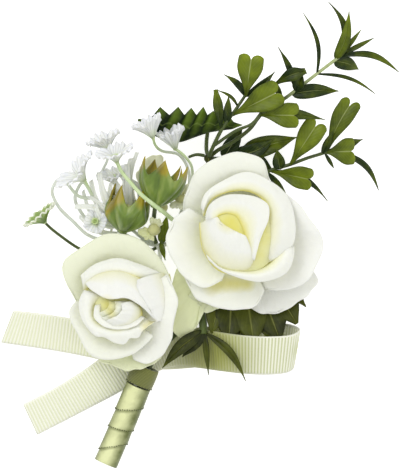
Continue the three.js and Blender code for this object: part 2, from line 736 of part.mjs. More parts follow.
// The saw-toothed leaf, folded along its lower edge, with its teeth on both halves
function toothedLeaf() {
  const stalk = spots([
    [209, 158, 8.6], [207, 150, 7.4], [207, 141, 7.6], [208, 132, 8.8], [208, 127, 9.4],
  ]);
  const rib = new THREE.CatmullRomCurve3(
    spots([
      [138, 124, 9], [152, 134, 9], [169, 141, 9], [181, 142, 9], [196, 137, 9], [210, 132.5, 9],
      [232, 129, 9],
    ]),
  );
  const tips = [
    [139, 119], [161, 107], [179, 107], [192, 108], [204, 107], [214, 111], [228, 114], [243, 125],
  ];
  const notches = [[150, 120], [170, 115], [185, 115], [197, 115], [208, 115], [220, 118], [234, 122]];
  const teeth = [];
  tips.forEach((tip, k) => {
    teeth.push(tip);
    if (notches[k]) teeth.push(notches[k]);
  });
  const half = (rise) => {
    const grid = teeth.map(([x, y], k) => {
      const foot = rib.getPointAt(k / (teeth.length - 1));
      const crest = spot(x, y, 9 + rise);
      return [foot, crest];
    });
    return skin(grid, LEAF_THICKNESS);
  };
  return clearOfWhorl(union([half(2.6), half(-1.2), stem(stalk, GREEN_STEM_RADIUS, 5, 6)]));
}

// The dark neck and long sepals below the large rose
function neckSepals() {
  const neck = spots([[199, 300, 5.6], [203, 318, 7.2], [204, 334, 9]]);
  const leaves = [
    { base: [205, 330, 9.2], tip: [209, 374, 8.6], width: 1.5 },
    { base: [206, 332, 9.2], tip: [246, 380, 10.6], width: 2, bow: -0.1, arch: 0.1 },
    { base: [203, 331, 9.2], tip: [163, 367, 9.4], width: 2.8, bow: 0.06, outline: broadLance },
    { base: [203, 330, 9.2], tip: [186, 352, 8.6], width: 2.4 },
  ];
  return union([stem(neck, 0.9, 6, 4), ...leaves.map(leaf)]);
}

// Small florets on a pale branching stem

const florets = [
  { throat: [154, 138, 16.5], facing: [-0.4, 1, 0.1], petals: 5, length: 6.4, open: 38, spin: 0 },
  { throat: [176, 149, 13.4], facing: [-0.3, 1, 0.2], petals: 5, length: 6.2, open: 30, spin: 36 },
  { throat: [118, 162, 17.4], facing: [-0.25, 1, 0.35], petals: 5, length: 6, open: 58, spin: 0 },
  { throat: [109, 150, 9.5], facing: [-0.45, 1, 0.2], petals: 5, length: 6, open: 46, spin: 36 },
  { throat: [86, 180, 14], facing: [-0.75, 0.7, 0.25], petals: 6, length: 7.6, open: 58, spin: 10 },
  { throat: [46, 222, 8], facing: [-0.62, 0.78, 0.1], petals: 6, length: 5.4, open: 60, spin: 0 },
  { throat: [115, 182, 7], facing: [-0.3, 1, 0.4], petals: 5, length: 4.8, open: 52, spin: 10 },
  { throat: [97, 222, 9.5], facing: [-0.15, 0.2, 1], petals: 4, length: 3, open: 60, spin: 30 },
];

function floretFrame({ throat, facing, spin }) {
  const place = spot(...throat);
  const axis = new THREE.Vector3(...facing).normalize();
  const side = new THREE.Vector3().crossVectors(axis, UP).normalize();
  side.applyAxisAngle(axis, THREE.MathUtils.degToRad(spin));
  return { place, axis, side };
}

function floret(each) {
  const { place, axis, side } = floretFrame(each);
  const slope = THREE.MathUtils.degToRad(each.open);
  const petals = Array.from({ length: each.petals }, (_, k) => {
    const uneven = Math.sin(5 * k + each.length);
    const outward = side.clone().applyAxisAngle(axis, ((k + 0.08 * uneven) / each.petals) * 2 * Math.PI);
    const across = new THREE.Vector3().crossVectors(axis, outward);
    const reach = each.length * (1 + 0.05 * uneven);
    const halves = [0.5, 1.5 + 0.1 * uneven, 1];
    const grid = [0, 0.65, 1].map((t, row) => {
      const lean = slope * (0.6 + 0.4 * t + 0.04 * uneven);
      const middle = place
        .clone()
        .addScaledVector(outward, 0.35 + 0.07 * uneven + reach * t * Math.sin(lean))
        .addScaledVector(axis, 0.1 * uneven + reach * t * Math.cos(lean));
      return [-1, 1].map((s) => middle.clone().addScaledVector(across, s * halves[row]));
    });
    return skin(grid, FLORET_THICKNESS);
  });
  const throat = turned([[0, -0.2], [0.8, -0.2], [1.1, 1.6], [0, 1.6]], place, axis, 5);
  return union([throat, ...petals]);
}

function floretStems() {
  const hub = [160, 246, 6];
  const routes = [
    [
      [154, 138, 16.5], [156, 145, 13.8], [163, 151, 10], [180, 155, 8.4],
      [190, 176, 7.2], [178, 220, 6.2], hub,
    ],
    [[176, 149, 13.4], [184, 155, 12.6], [192, 166, 11], [192, 185, 8.5], [182, 214, 7], hub],
    [
      [118, 162, 17.4], [123, 172, 18.4], [132, 183, 19.4], [143, 195, 19.8],
      [154, 204, 19], [167, 214, 16], [178, 226, 11], [173, 240, 7.5], hub,
    ],
    [[109, 150, 9.5], [108, 160, 6.8], [102, 176, 4], [112, 208, 4], [136, 232, 4.6], hub],
    [[86, 180, 14], [89, 186, 12], [95, 198, 9], [104, 214, 6], [126, 234, 4.6], hub],
    [[46, 222, 8], [51, 227, 8], [61, 235, 7.6], [80, 248, 6.4], [104, 258, 5], [136, 256, 4.6], hub],
    [[115, 182, 7], [117, 190, 4.8], [124, 208, 3.6], [136, 232, 4.4], hub],
    [[97, 222, 9.5], [98, 226, 7.6], [106, 234, 5.2], [126, 238, 4.4], hub],
  ];
  const down = [...bundleStem(1), ...spots([[160, 336, 6.8], [163, 316, 6.2], [162, 285, 5.6], hub])];
  const curls = [
    [
      [95, 198, 9], [80, 196, 9], [62, 178, 8.4], [53, 190, 6.4], [60, 207, 4.4],
      [74, 221, 4.4], [88, 234, 4.4], [106, 240, 4.6], [126, 238, 4.4],
    ],
    [
      [95, 198, 9], [84, 182, 8.4], [78, 190, 8], [76, 199, 7.4], [79, 207, 6.6],
      [90, 222, 5.2], [106, 234, 4.6], [126, 234, 4.6],
    ],
  ];
  const parts = [
    stem(down, GREEN_STEM_RADIUS, 5, 12),
    ...routes.map((route) => stem(spots(route), TWIG_RADIUS, 4, route.length)),
    ...curls.map((curl) => stem(spots(curl), CURL_RADIUS, 4, curl.length)),
    ball(spot(...hub), 0.9),
  ];
  const heads = florets.map((each) => {
    const { place, axis } = floretFrame(each);
    const seat = place.clone().addScaledVector(axis, -0.2 - SEAT_GAP);
    const room = new THREE.CylinderGeometry(1.5, 1.5, 2.4, 6).translate(0, 1.2, 0);
    room.applyQuaternion(turnFromUp(axis)).translate(seat.x, seat.y, seat.z);
    return solidFromGeometry(room);
  });
  return heads.reduce((sum, head) => sum.subtract(head), union(parts));
}

// Bud cups: a bowl of pointed sepals with a stalk, and the cream petals behind the right one

function budCup({ base, axis, radius, height, tipHeight, points, spin, stalk }) {
  const foot = spot(...base);
  const up = new THREE.Vector3(...axis).normalize();
  const side = new THREE.Vector3().crossVectors(up, UP).normalize();
  side.applyAxisAngle(up, THREE.MathUtils.degToRad(spin));
  const around = points * 2;
  const place = (angle, r, h) =>
    foot.clone().addScaledVector(side.clone().applyAxisAngle(up, angle), r).addScaledVector(up, h);
  const grid = [];
  for (let k = 0; k <= around; k++) {
    const angle = (k / around) * 2 * Math.PI * 0.97;
    const crest = k % 2 ? height : tipHeight;
    grid.push(
      [0.12, 0.5, 1].map((t) => {
        const swell = Math.sin(Math.min(1, t * 1.25) * (Math.PI / 2));
        return place(angle, 0.5 + radius * swell * (t > 0.9 ? 0.88 : 1), crest * t);
      }),
    );
  }
  const knob = turned([[0, -0.6], [1.2, -0.6], [2.2, 1.4], [0, 1.4]], foot, up, 8);
  return union([skin(grid, LEAF_THICKNESS), knob, stem(spots(stalk), GREEN_STEM_RADIUS, 5, 5)]);
}

const leftCup = {
  base: [123, 231, 10.6],
  axis: [0.25, 1, 0.02],
  radius: 4.9,
  height: 6.4,
  tipHeight: 11.4,
  points: 5,
  spin: 18,
  stalk: [[123, 231, 10.6], [130, 243, 9], [143, 251, 7.8], [155, 251, 7.4]],
};
const rightCup = {
  base: [156, 206, 14.6],
  axis: [0.26, 1, -0.03],
  radius: 5.2,
  height: 6.8,
  tipHeight: 11.6,
  points: 5,
  spin: 50,
  stalk: [[156, 206, 14.6], [155, 214, 10.6], [154, 224, 8.2], [154, 234, 7.8], [157, 243, 7.4]],
};

// The cream petals seen past the right cup
function budPetals() {
  return bloomBody({
    foot: [163, 207, 7.6],
    rootRadius: 0.8,
    rootHeight: 0.4,
    core: [[0, 0], [1.2, 0], [1.4, 0.6], [0.8, 1.4], [0, 1.8]],
    petals: [
      { ...FLAT, rim: [[141, 186, 7.4], [138, 174, 7.4], [145, 161, 7.4], [155, 155, 7.2], [164, 158, 7]] },
    ],
  });
}

// The small cream bloom half hidden at the large rose's edge
function sideBloom() {
  const size = { columns: 4, rows: 2 };
  return bloomBody({
    foot: [181, 198, 9.6],
    rootRadius: 0.9,
    rootHeight: 0.4,
    core: [[0, 0], [1, 0], [1.4, 0.5], [1, 1.2], [0, 1.6]],
    petals: [
      { ...FLAT, ...size, rim: [[170, 203, 11.4], [174, 207, 11.6], [181, 208.5, 11.6], [188, 205, 11.4]] },
      { ...FLAT, ...size, rim: [[182, 193, 11.2], [184, 186, 11.4], [188, 184, 11.4], [191, 190, 11.2]] },
    ],
  });
}

// The low bud between the roses: olive sepals on a stalk, and its cream petals
function lowBudSepals() {
  const stalk = spots([[163, 243, 8], [162, 238, 8.4], [160, 233, 9]]);
  const leaves = [
    { base: [162, 242, 8.2], tip: [168, 214, 10.6], width: 2.6, outline: broadLance },
    { base: [161, 241, 8], tip: [166, 260, 8.6], width: 1.4 },
  ];
  return union([stem(stalk, GREEN_STEM_RADIUS, 5, 4), ...leaves.map(leaf)]);
}

function lowBudPetals() {
  const size = { columns: 4, rows: 2 };
  return bloomBody({
    foot: [155, 229, 10.2],
    rootRadius: 0.8,
    rootHeight: 0.4,
    core: [[0, 0], [1, 0], [1.6, 0.8], [1.2, 2], [0, 2.6]],
    petals: [
      { ...FLAT, ...size, rim: [[150, 221, 12], [154, 218, 12.6], [160, 219, 12.6], [162, 225, 12]] },
      { ...FLAT, ...size, rim: [[144, 226, 11.4], [140, 232, 11.2], [145, 238, 11.2], [155, 239, 11]] },
    ],
  });
}

// Ribbon: stations of plan place, height, plan heading of the upper edge, and how far that edge is raised.
const ribbonStations = [
  [8, 326, 2.7, 0.4, 1, 30],
  [24, 328, 2.7, 0.3, 1, 30],
  [52, 332, 2.7, 0.15, 1, 30],
  [82, 337, 2.65, 0.14, 1, 28],
  [112, 342, 2.2, 0.13, 1, 18],
  [136, 346, 0.9, 0.1, 1, 4],
  [160, 349, 0.5, 0.02, 1, 1],
  [185, 348, 0.9, 0, 1, 4],
  [215, 345, 1.4, 0, 1, 12],
  [245, 342.5, 1.8, 0, 1, 18],
  [270, 341.5, 1.8, 0.04, 1, 18],
  [288, 342.5, 3.4, 0.12, 1, 18],
  [297, 347, 6.2, 0.16, 1, 18],
  [290, 352.5, 9.5, 0.12, 1, 18],
  [270, 354.5, 11.1, 0.06, 1, 18],
  [245, 353.5, 10.7, 0, 1, 18],
  [220, 350.5, 8.6, -0.06, 1, 14],
  [198, 347.5, 4.3, -0.1, 1, 8],
  [178, 346, 1.9, -0.14, 1, 3],
  [160, 349, 1.5, -0.3, 1, 1],
  [140, 358, 1.5, -0.55, 1, 1],
  [118, 370, 1.9, -0.62, 1, 10],
  [92, 386, 2.6, -0.62, 1, 26],
  [62, 403, 2.95, -0.55, 1, 33],
  [31, 419, 2.95, -0.45, 1, 33],
];

function ribbon() {
  const centre = new THREE.CatmullRomCurve3(
    ribbonStations.map(([x, y, z]) => spot(x, y, z)),
    false,
    "centripetal",
  );
  const edgeward = new THREE.CatmullRomCurve3(
    ribbonStations.map(([, , , x, y, raised]) => {
      const angle = THREE.MathUtils.degToRad(raised);
      const plan = new THREE.Vector2(x, y).normalize().multiplyScalar(Math.cos(angle));
      return new THREE.Vector3(plan.x, plan.y, Math.sin(angle));
    }),
    false,
    "centripetal",
  );
  const steps = (ribbonStations.length - 1) * 2;
  const grid = [];
  for (let i = 0; i <= steps; i++) {
    const middle = centre.getPoint(i / steps);
    const across = edgeward.getPoint(i / steps).normalize();
    grid.push([-0.5, 0.5].map((s) => middle.clone().addScaledVector(across, s * RIBBON_WIDTH)));
  }
  return onSurface(skin(grid, RIBBON_THICKNESS));
}

// Finishes

const finish = (color, roughness) => new THREE.MeshStandardMaterial({ color, roughness, metalness: 0 });
const ivoryPetal = () => finish(0xf6f5ee, 0.8);
const creamPetal = () => finish(0xd8d6b0, 0.8);
const darkLeaf = () => finish(0x46561c, 0.45);
const brightLeaf = () => finish(0x7a8a24, 0.45);
const cupGreen = () => finish(0x55783a, 0.45);
const paleStem = () => finish(0xcfe0ae, 0.5);
const whiteFloret = () => finish(0xf2f4ee, 0.5);
const ribbonCloth = () => finish(0xeef1cc, 0.7);
const wrapCloth = () => finish(0xc9cf8c, 0.65);

function mesh(name, solid, material) {
  const made = solid.simplify(SMALLEST_EDGE).getMesh();
  const geometry = new THREE.BufferGeometry();
  geometry.setAttribute("position", new THREE.BufferAttribute(new Float32Array(made.vertProperties), 3));
  geometry.setIndex(new THREE.BufferAttribute(new Uint32Array(made.triVerts), 1));
  geometry.computeVertexNormals();
  const piece = new THREE.Mesh(geometry, material);
  piece.name = name;
  return piece;
}

const boutonniere = new THREE.Group();
boutonniere.name = "boutonniere";
boutonniere.add(
  mesh("rose_large_bloom", bloomBody(largeRose), ivoryPetal()),
  mesh("rose_large_calyx", largeCalyx(), darkLeaf()),
  mesh("rose_small_bloom", bloomBody(smallRose), ivoryPetal()),
  mesh("rose_small_calyx", smallCalyx(), darkLeaf()),
  mesh("greenery_stem", greenStem(), darkLeaf()),
  mesh("spray_long", longSpray(), brightLeaf()),
  mesh("spray_middle", middleSpray(), brightLeaf()),
  mesh("spray_low", lowSpray(), brightLeaf()),
  mesh("broad_leaves", broadLeaves(), darkLeaf()),
  mesh("toothed_leaf", toothedLeaf(), darkLeaf()),
  mesh("neck_sepals", neckSepals(), darkLeaf()),
  mesh("floret_stems", floretStems(), paleStem()),
  ...florets.map((each, k) => mesh(`floret_${k + 1}`, floret(each), whiteFloret())),
  mesh("bud_cup_left", budCup(leftCup), cupGreen()),
  mesh("bud_cup_right", budCup(rightCup), cupGreen()),
  mesh("bud_petals_right", budPetals(), creamPetal()),
  mesh("side_bloom", sideBloom(), creamPetal()),
  mesh("low_bud_sepals", lowBudSepals(), cupGreen()),
  mesh("low_bud_petals", lowBudPetals(), creamPetal()),
  mesh("ribbon", ribbon(), ribbonCloth()),
  mesh("neck_tie", tieBand(), ribbonCloth()),
  mesh("stem_wrap", stemWrap(), wrapCloth()),
);

export default boutonniere;
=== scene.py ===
"""Dresses a packed boutonniere: roses, florets, bud cups, greenery, ribbon and wrapped handle."""

import math

import bpy
import numpy as np
from mathutils import Matrix, Vector


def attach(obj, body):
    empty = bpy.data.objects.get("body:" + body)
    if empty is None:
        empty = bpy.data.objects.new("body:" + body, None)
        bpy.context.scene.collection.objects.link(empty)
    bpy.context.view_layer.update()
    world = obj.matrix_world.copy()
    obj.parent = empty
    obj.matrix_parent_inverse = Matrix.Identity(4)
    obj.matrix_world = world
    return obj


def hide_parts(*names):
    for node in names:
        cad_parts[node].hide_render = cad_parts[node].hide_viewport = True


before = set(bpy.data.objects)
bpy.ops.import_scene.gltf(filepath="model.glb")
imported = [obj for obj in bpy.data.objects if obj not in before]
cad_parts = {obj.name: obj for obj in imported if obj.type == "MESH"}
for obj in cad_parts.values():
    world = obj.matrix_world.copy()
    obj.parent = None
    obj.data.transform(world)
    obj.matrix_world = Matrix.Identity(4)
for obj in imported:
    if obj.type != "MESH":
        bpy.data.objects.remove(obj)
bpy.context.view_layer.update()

bl_info = {
    "name": "Boutonniere",
    "version": (1, 0, 0),
    "blender": (4, 5, 0),
    "location": "View3D > Sidebar > Boutonniere",
    "description": "Builds the finished pieces of a rose boutonniere over its solids",
    "category": "Object",
}

# Plan places are written on a grid of small squares, x to the right and y downwards; heights are in mm.
GRID_SQUARE = 0.25
GRID_MIDDLE = (200.5, 234.5)
MM = 0.001
UP = np.array([0.0, 0.0, 1.0])

# Thickness of the sheets in mm, before their edges are thinned
PETAL_SHEET = 0.4
LEAF_SHEET = 0.34
FLORET_SHEET = 0.22
RIBBON_SHEET = 0.42
CUP_SHEET = 0.45

# Points on each span of a smooth line, before they are spaced evenly
SPAN_POINTS = 24


def spot(x, y, z):
    """A place in mm, from its plan place on the grid and its height in mm."""
    return np.array([(x - GRID_MIDDLE[0]) * GRID_SQUARE, (GRID_MIDDLE[1] - y) * GRID_SQUARE, z], float)


def spots(places):
    """The same for a list of places."""
    return np.array([spot(*each) for each in places])


def unit(v):
    """Vectors of length 1 with the same directions."""
    v = np.asarray(v, float)
    return v / np.maximum(np.linalg.norm(v, axis=-1, keepdims=True), 1e-9)


def srgb(red, green, blue):
    """Linear colour from the 0 to 255 values of a colour picker."""
    def linear(c):
        c /= 255
        return c / 12.92 if c <= 0.04045 else ((c + 0.055) / 1.055) ** 2.4

    return (linear(red), linear(green), linear(blue))


def turn(v, axis, angle):
    """Turns vectors round a unit axis, by an angle in radians."""
    v = np.asarray(v, float)
    axis = unit(axis)
    dot = (v * axis).sum(-1)[..., None]
    return v * math.cos(angle) + np.cross(axis, v) * math.sin(angle) + axis * dot * (1 - math.cos(angle))


def between(t, start, first, end, second):
    """The value at t, where it is first at start and second at end."""
    return (end - t) / (end - start) * first + (t - start) / (end - start) * second


def distances(points):
    """How far each point lies along its line from the first one."""
    return np.concatenate([[0], np.cumsum(np.linalg.norm(np.diff(points, axis=0), axis=1))])


def smooth_line(points, count):
    """Evenly spaced points along a smooth curve that passes through all the points."""
    p = np.asarray(points, float)
    p = np.vstack([2 * p[0] - p[1], p, 2 * p[-1] - p[-2]])
    knots = np.concatenate([[0], np.cumsum(np.linalg.norm(np.diff(p, axis=0), axis=1) ** 0.5)])
    dense = []
    for i in range(1, len(p) - 2):
        t0, t1, t2, t3 = knots[i - 1 : i + 3]
        t = np.linspace(t1, t2, SPAN_POINTS, endpoint=i == len(p) - 3)[:, None]
        a1 = between(t, t0, p[i - 1], t1, p[i])
        a2 = between(t, t1, p[i], t2, p[i + 1])
        a3 = between(t, t2, p[i + 1], t3, p[i + 2])
        b1 = between(t, t0, a1, t2, a2)
        b2 = between(t, t1, a2, t3, a3)
        dense.append(between(t, t1, b1, t2, b2))
    dense = np.vstack(dense)
    run = distances(dense)
    even = np.linspace(0, run[-1], count)
    return np.stack([np.interp(even, run, dense[:, k]) for k in range(p.shape[1])], 1)


def shares(rows, columns):
    """For each point of a grid, its share of the way along and of the way across, from 0 to 1."""
    return np.meshgrid(np.linspace(0, 1, rows), np.linspace(0, 1, columns), indexing="ij")


def cells(index):
    """The four corners of each cell in a grid of vertex numbers."""
    return np.stack([index[:-1, :-1], index[1:, :-1], index[1:, 1:], index[:-1, 1:]], -1).reshape(-1, 4)


def placed(name, data):
    """A new object in the scene."""
    made = bpy.data.objects.new(name, data)
    bpy.context.scene.collection.objects.link(made)
    return made


def joined_with(piece, mesh):
    """Adds a second mesh to the piece, with its material."""
    both = [piece, placed("other", mesh)]
    with bpy.context.temp_override(active_object=piece, selected_objects=both,
                                   selected_editable_objects=both):
        bpy.ops.object.join()


def dressed(piece, node):
    """Names a finished piece after its solid, lets it ride on the object and stand for its solid."""
    piece.name = node + "_fine"
    piece.data.name = piece.name
    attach(piece, "root")
    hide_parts(node)
    return piece


class Blades:
    """Thin closed sheets and turned bodies in one mesh, each with its own map and tone."""

    def __init__(self):
        self.places, self.faces, self.maps, self.tones = [], [], [], []
        self.count = 0

    def add(self, grid, thickness, tone=0.5, thin_edge=0.35):
        """A closed skin round a grid of points, thinner towards its edges."""
        rows, columns = grid.shape[:2]
        along, across = np.gradient(grid, axis=0), np.gradient(grid, axis=1)
        normal = unit(np.cross(along, across))
        v, u = shares(rows, columns)
        edge = np.minimum(np.minimum(u, 1 - u) * columns, (1 - v) * rows)
        half = thickness / 2 * (thin_edge + (1 - thin_edge) * np.clip(edge / 2, 0, 1) ** 0.5)
        front = grid + normal * half[..., None]
        back = grid - normal * half[..., None]
        index = np.arange(rows * columns).reshape(rows, columns) + self.count
        self.faces.append(cells(index))
        self.faces.append(cells(index + rows * columns)[:, [0, 3, 2, 1]])
        ring = np.concatenate([index[:-1, 0], index[-1, :-1], index[:0:-1, -1], index[0, :0:-1]])
        low = ring + rows * columns
        self.faces.append(np.stack([low, np.roll(low, -1), np.roll(ring, -1), ring], -1))
        self.places += [front.reshape(-1, 3), back.reshape(-1, 3)]
        self.maps.append(np.tile(np.stack([u, v], -1).reshape(-1, 2), (2, 1)))
        self.tones.append(np.tile(np.broadcast_to(tone, (rows, columns)).ravel(), 2))
        self.count += 2 * rows * columns

    def add_turned(self, profile, place, axis, sides=24, tone=0.5, depth=(0.0, 0.3)):
        """A turned closed body from a profile of (radius, height), both ends on its axis."""
        axis = unit(axis)
        side = unit(np.cross(axis, UP if abs(axis[2]) < 0.95 else [1.0, 0, 0]))
        other = np.cross(axis, side)
        angles = np.arange(sides) / sides * 2 * math.pi
        ring = np.cos(angles)[:, None] * side + np.sin(angles)[:, None] * other
        places = [place + axis * profile[0][1]]
        for radius, height in profile[1:-1]:
            places += list(place + axis * height + ring * radius)
        places.append(place + axis * profile[-1][1])
        inner = len(profile) - 2
        first = self.count + 1
        last = first + inner * sides
        top = last - sides
        k = np.arange(sides)
        n = (k + 1) % sides
        self.faces.append(np.stack([np.full(sides, self.count), first + n, first + k, first + k], -1))
        for low in range(first, top, sides):
            high = low + sides
            self.faces.append(np.stack([low + k, low + n, high + n, high + k], -1))
        self.faces.append(np.stack([top + k, top + n, np.full(sides, last), np.full(sides, last)], -1))
        self.places.append(np.array(places))
        steps = np.repeat(np.arange(inner) / max(inner - 1, 1), sides)
        heights = np.concatenate([[0.0], steps, [1.0]])
        around = np.concatenate([[0.5], np.tile(k / sides, inner), [0.5]])
        self.maps.append(np.stack([around, depth[0] + heights * (depth[1] - depth[0])], -1))
        self.tones.append(np.full(len(places), tone))
        self.count += len(places)

    def mesh(self, name, material):
        """All of it as one mesh, with the blades' own map and tones."""
        faces = [tuple(dict.fromkeys(face)) for face in np.vstack(self.faces).tolist()]
        made = bpy.data.meshes.new(name)
        made.from_pydata((np.vstack(self.places) * MM).tolist(), [], faces)
        corners = np.empty(len(made.loops), int)
        made.loops.foreach_get("vertex_index", corners)
        maps = np.vstack(self.maps)[corners].astype("f")
        made.uv_layers.new(name="blade").data.foreach_set("uv", maps.ravel())
        tones = np.concatenate(self.tones).astype("f")
        made.attributes.new("tone", "FLOAT", "POINT").data.foreach_set("value", tones)
        made.shade_smooth()
        made.materials.append(material)
        return made


# Materials


def add_node(tree, kind, inputs=None, **settings):
    """Adds a node, and sets or links its inputs, which are given by name or number."""
    made = tree.nodes.new(kind)
    for name, value in settings.items():
        setattr(made, name, value)
    for key, value in (inputs or {}).items():
        if isinstance(value, bpy.types.Node):
            value = value.outputs[0]
        if isinstance(value, bpy.types.NodeSocket):
            tree.links.new(value, made.inputs[key])
        else:
            made.inputs[key].default_value = value
    return made


class Shading:
    """A material with one Principled shader, and short ways to add and join its nodes."""

    def __init__(self, name, roughness=0.5, subsurface=0.0, sheen=0.0, specular=0.5):
        self.material = bpy.data.materials.new(name)
        self.material.use_nodes = True
        self.tree = self.material.node_tree
        self.sockets = self.tree.nodes["Principled BSDF"].inputs
        self.sockets["Roughness"].default_value = roughness
        self.sockets["Specular IOR Level"].default_value = specular
        if subsurface:
            self.sockets["Subsurface Weight"].default_value = subsurface
            self.sockets["Subsurface Radius"].default_value = (1.0, 0.9, 0.6)
            self.sockets["Subsurface Scale"].default_value = 0.0015
        if sheen:
            self.sockets["Sheen Weight"].default_value = sheen

    def node(self, kind, inputs=None, **settings):
        return add_node(self.tree, kind, inputs, **settings)

    def place(self):
        return self.node("ShaderNodeTexCoord").outputs["Object"]

    def blade(self):
        """Across and along of the blade's own map, each from 0 to 1."""
        split = self.node("ShaderNodeSeparateXYZ", {0: self.node("ShaderNodeUVMap", uv_map="blade")})
        return split.outputs["X"], split.outputs["Y"]

    def tone(self):
        return self.node("ShaderNodeAttribute", attribute_name="tone").outputs["Fac"]

    def noise(self, scale, detail=3.0, vector=None):
        inputs = {"Scale": scale, "Detail": detail, "Vector": vector or self.place()}
        return self.node("ShaderNodeTexNoise", inputs).outputs["Fac"]

    def streaks(self, across, along):
        """Noise drawn out along the blade, with so many streaks across it and along it."""
        u, v = self.blade()
        drawn = self.node("ShaderNodeCombineXYZ", {0: self.times(u, across), 1: self.times(v, along)})
        return self.noise(1.0, 2.0, drawn.outputs[0])

    def maths(self, operation, first, second=0.0, third=0.0, clamp=False):
        inputs = {0: first, 1: second, 2: third}
        return self.node("ShaderNodeMath", inputs, operation=operation, use_clamp=clamp).outputs[0]

    def times(self, first, second, plus=None, clamp=False):
        if plus is None:
            return self.maths("MULTIPLY", first, second, clamp=clamp)
        return self.maths("MULTIPLY_ADD", first, second, plus, clamp)

    def waves(self, along, count):
        """Sawtooth folds from 0 to 0.5 and back, so many over the run of along."""
        return self.maths("PINGPONG", self.times(along, count), 0.5)

    def ramp(self, factor, *stops):
        """A colour ramp from its stops of position and colour."""
        made = self.node("ShaderNodeValToRGB", {"Fac": factor})
        elements = made.color_ramp.elements
        while len(elements) < len(stops):
            elements.new(0.5)
        for element, (position, color) in zip(elements, stops):
            element.position = position
            element.color = (*color, 1.0)
        return made.outputs["Color"]

    def mix(self, factor, first, second, blend="MIX"):
        first, second = [(*each, 1.0) if isinstance(each, tuple) else each for each in (first, second)]
        inputs = {0: factor, 6: first, 7: second}
        return self.node("ShaderNodeMix", inputs, data_type="RGBA", blend_type=blend).outputs[2]

    def near(self, place, reach, run):
        """1 up to a reach in mm from a place on the grid, and falling to 0 over a run in mm."""
        inputs = {0: self.place(), 1: tuple(spot(*place) * MM)}
        away = self.node("ShaderNodeVectorMath", inputs, operation="DISTANCE").outputs["Value"]
        return self.times(away, -1 / (run * MM), 1 + reach / run, clamp=True)

    def color(self, socket):
        self.tree.links.new(socket, self.sockets["Base Color"])

    def rough(self, socket):
        self.tree.links.new(socket, self.sockets["Roughness"])

    def bump(self, height, strength=0.4, distance=0.0002):
        made = self.node("ShaderNodeBump", {"Strength": strength, "Distance": distance, "Height": height})
        self.tree.links.new(made.outputs["Normal"], self.sockets["Normal"])


def petal_finish(name, deep, middle, rim, shade_and_core_patches=()):
    """Soft foam petal: yellow-green in its depth, partly its own colour and partly painted shade deep in the
    bloom, ivory at its rim, with faint veins and creases; the deep colour is also mixed in at given places,
    as painted shade in creases and as yellow on the cores.
    """
    s = Shading(name, roughness=0.75, subsurface=0.25, sheen=0.1, specular=0.2)
    s.sockets["Subsurface Radius"].default_value = (1.0, 1.0, 0.8)
    along = s.blade()[1]
    mottled = s.times(s.noise(260), 0.14, s.maths("SUBTRACT", along, 0.07))
    # The ramp runs from the deep colour at the petal's base, partly its own yellow-green and partly painted
    # shade deep in the bloom, to the rim colour
    color = s.ramp(mottled, (0.0, deep), (0.2, middle), (0.48, rim), (1.0, rim))
    # Patches of the deep colour at given places: painted shade in the creases under petal edges, and yellow
    # on the roses' cores
    for place, reach, run in shade_and_core_patches:
        color = s.mix(s.times(s.near(place, reach, run), 0.6), color, deep)
    tinted = s.ramp(s.tone(), (0.0, (1.0, 1.0, 1.0)), (1.0, (0.85, 0.89, 0.6)))
    s.color(s.mix(1.0, color, tinted, "MULTIPLY"))
    grain = s.times(s.noise(190, 2.0), 2.2, s.times(s.noise(3200, 1.0), 0.15))
    s.bump(s.times(s.streaks(26.0, 2.2), 0.7, grain), 0.4, 0.0006)
    return s.material


def leaf_finish(name, dark, light, vein, roughness=0.38):
    """Moulded leaf: a pale midrib, side veins, green that varies from leaf to leaf and grows lighter towards
    the tip, and painted shade that darkens it towards its edges.
    """
    s = Shading(name, roughness=roughness, subsurface=0.04, specular=0.2)
    across, along = s.blade()
    off = s.maths("ABSOLUTE", s.maths("SUBTRACT", across, 0.5))
    patchy = s.times(s.noise(330), 1.0, s.times(s.tone(), 0.8, -0.74))
    # Lighter towards the tip, and painted shade that darkens the green towards the edges
    lighter_to_tip_and_middle = s.times(along, 0.45, s.times(off, -0.3))
    green = s.mix(s.maths("ADD", patchy, lighter_to_tip_and_middle, clamp=True), dark, light)
    slant = s.maths("ADD", s.times(along, 9.0), s.times(off, -7.0))
    ribs = s.maths("PINGPONG", slant, 0.5)
    rib_line = s.maths("SUBTRACT", 1.0, s.times(ribs, 5.0), clamp=True)
    midrib = s.maths("SUBTRACT", 1.0, s.times(off, 22.0), clamp=True)
    paler = s.times(s.maths("MAXIMUM", midrib, s.times(rib_line, 0.08)), 0.5)
    # Painted shade: the green darkens towards the leaf's edges
    rim = s.times(off, 5.0, -1.9, clamp=True)
    s.color(s.mix(s.times(rim, 0.55), s.mix(paler, green, vein), dark))
    height = s.maths("SUBTRACT", s.times(ribs, 0.2), s.times(midrib, 0.6))
    s.bump(s.maths("ADD", height, s.times(s.noise(2600, 2.0), 0.25)), 0.5)
    s.rough(s.times(s.noise(900), 0.18, roughness - 0.09))
    return s.material


def stem_finish(name, first, second, subsurface=0.05):
    """Stem, thread or thin strip: two near colours in small patches."""
    s = Shading(name, subsurface=subsurface)
    s.color(s.mix(s.noise(500), first, second))
    s.bump(s.noise(2400, 2.0), 0.35, 0.00015)
    return s.material


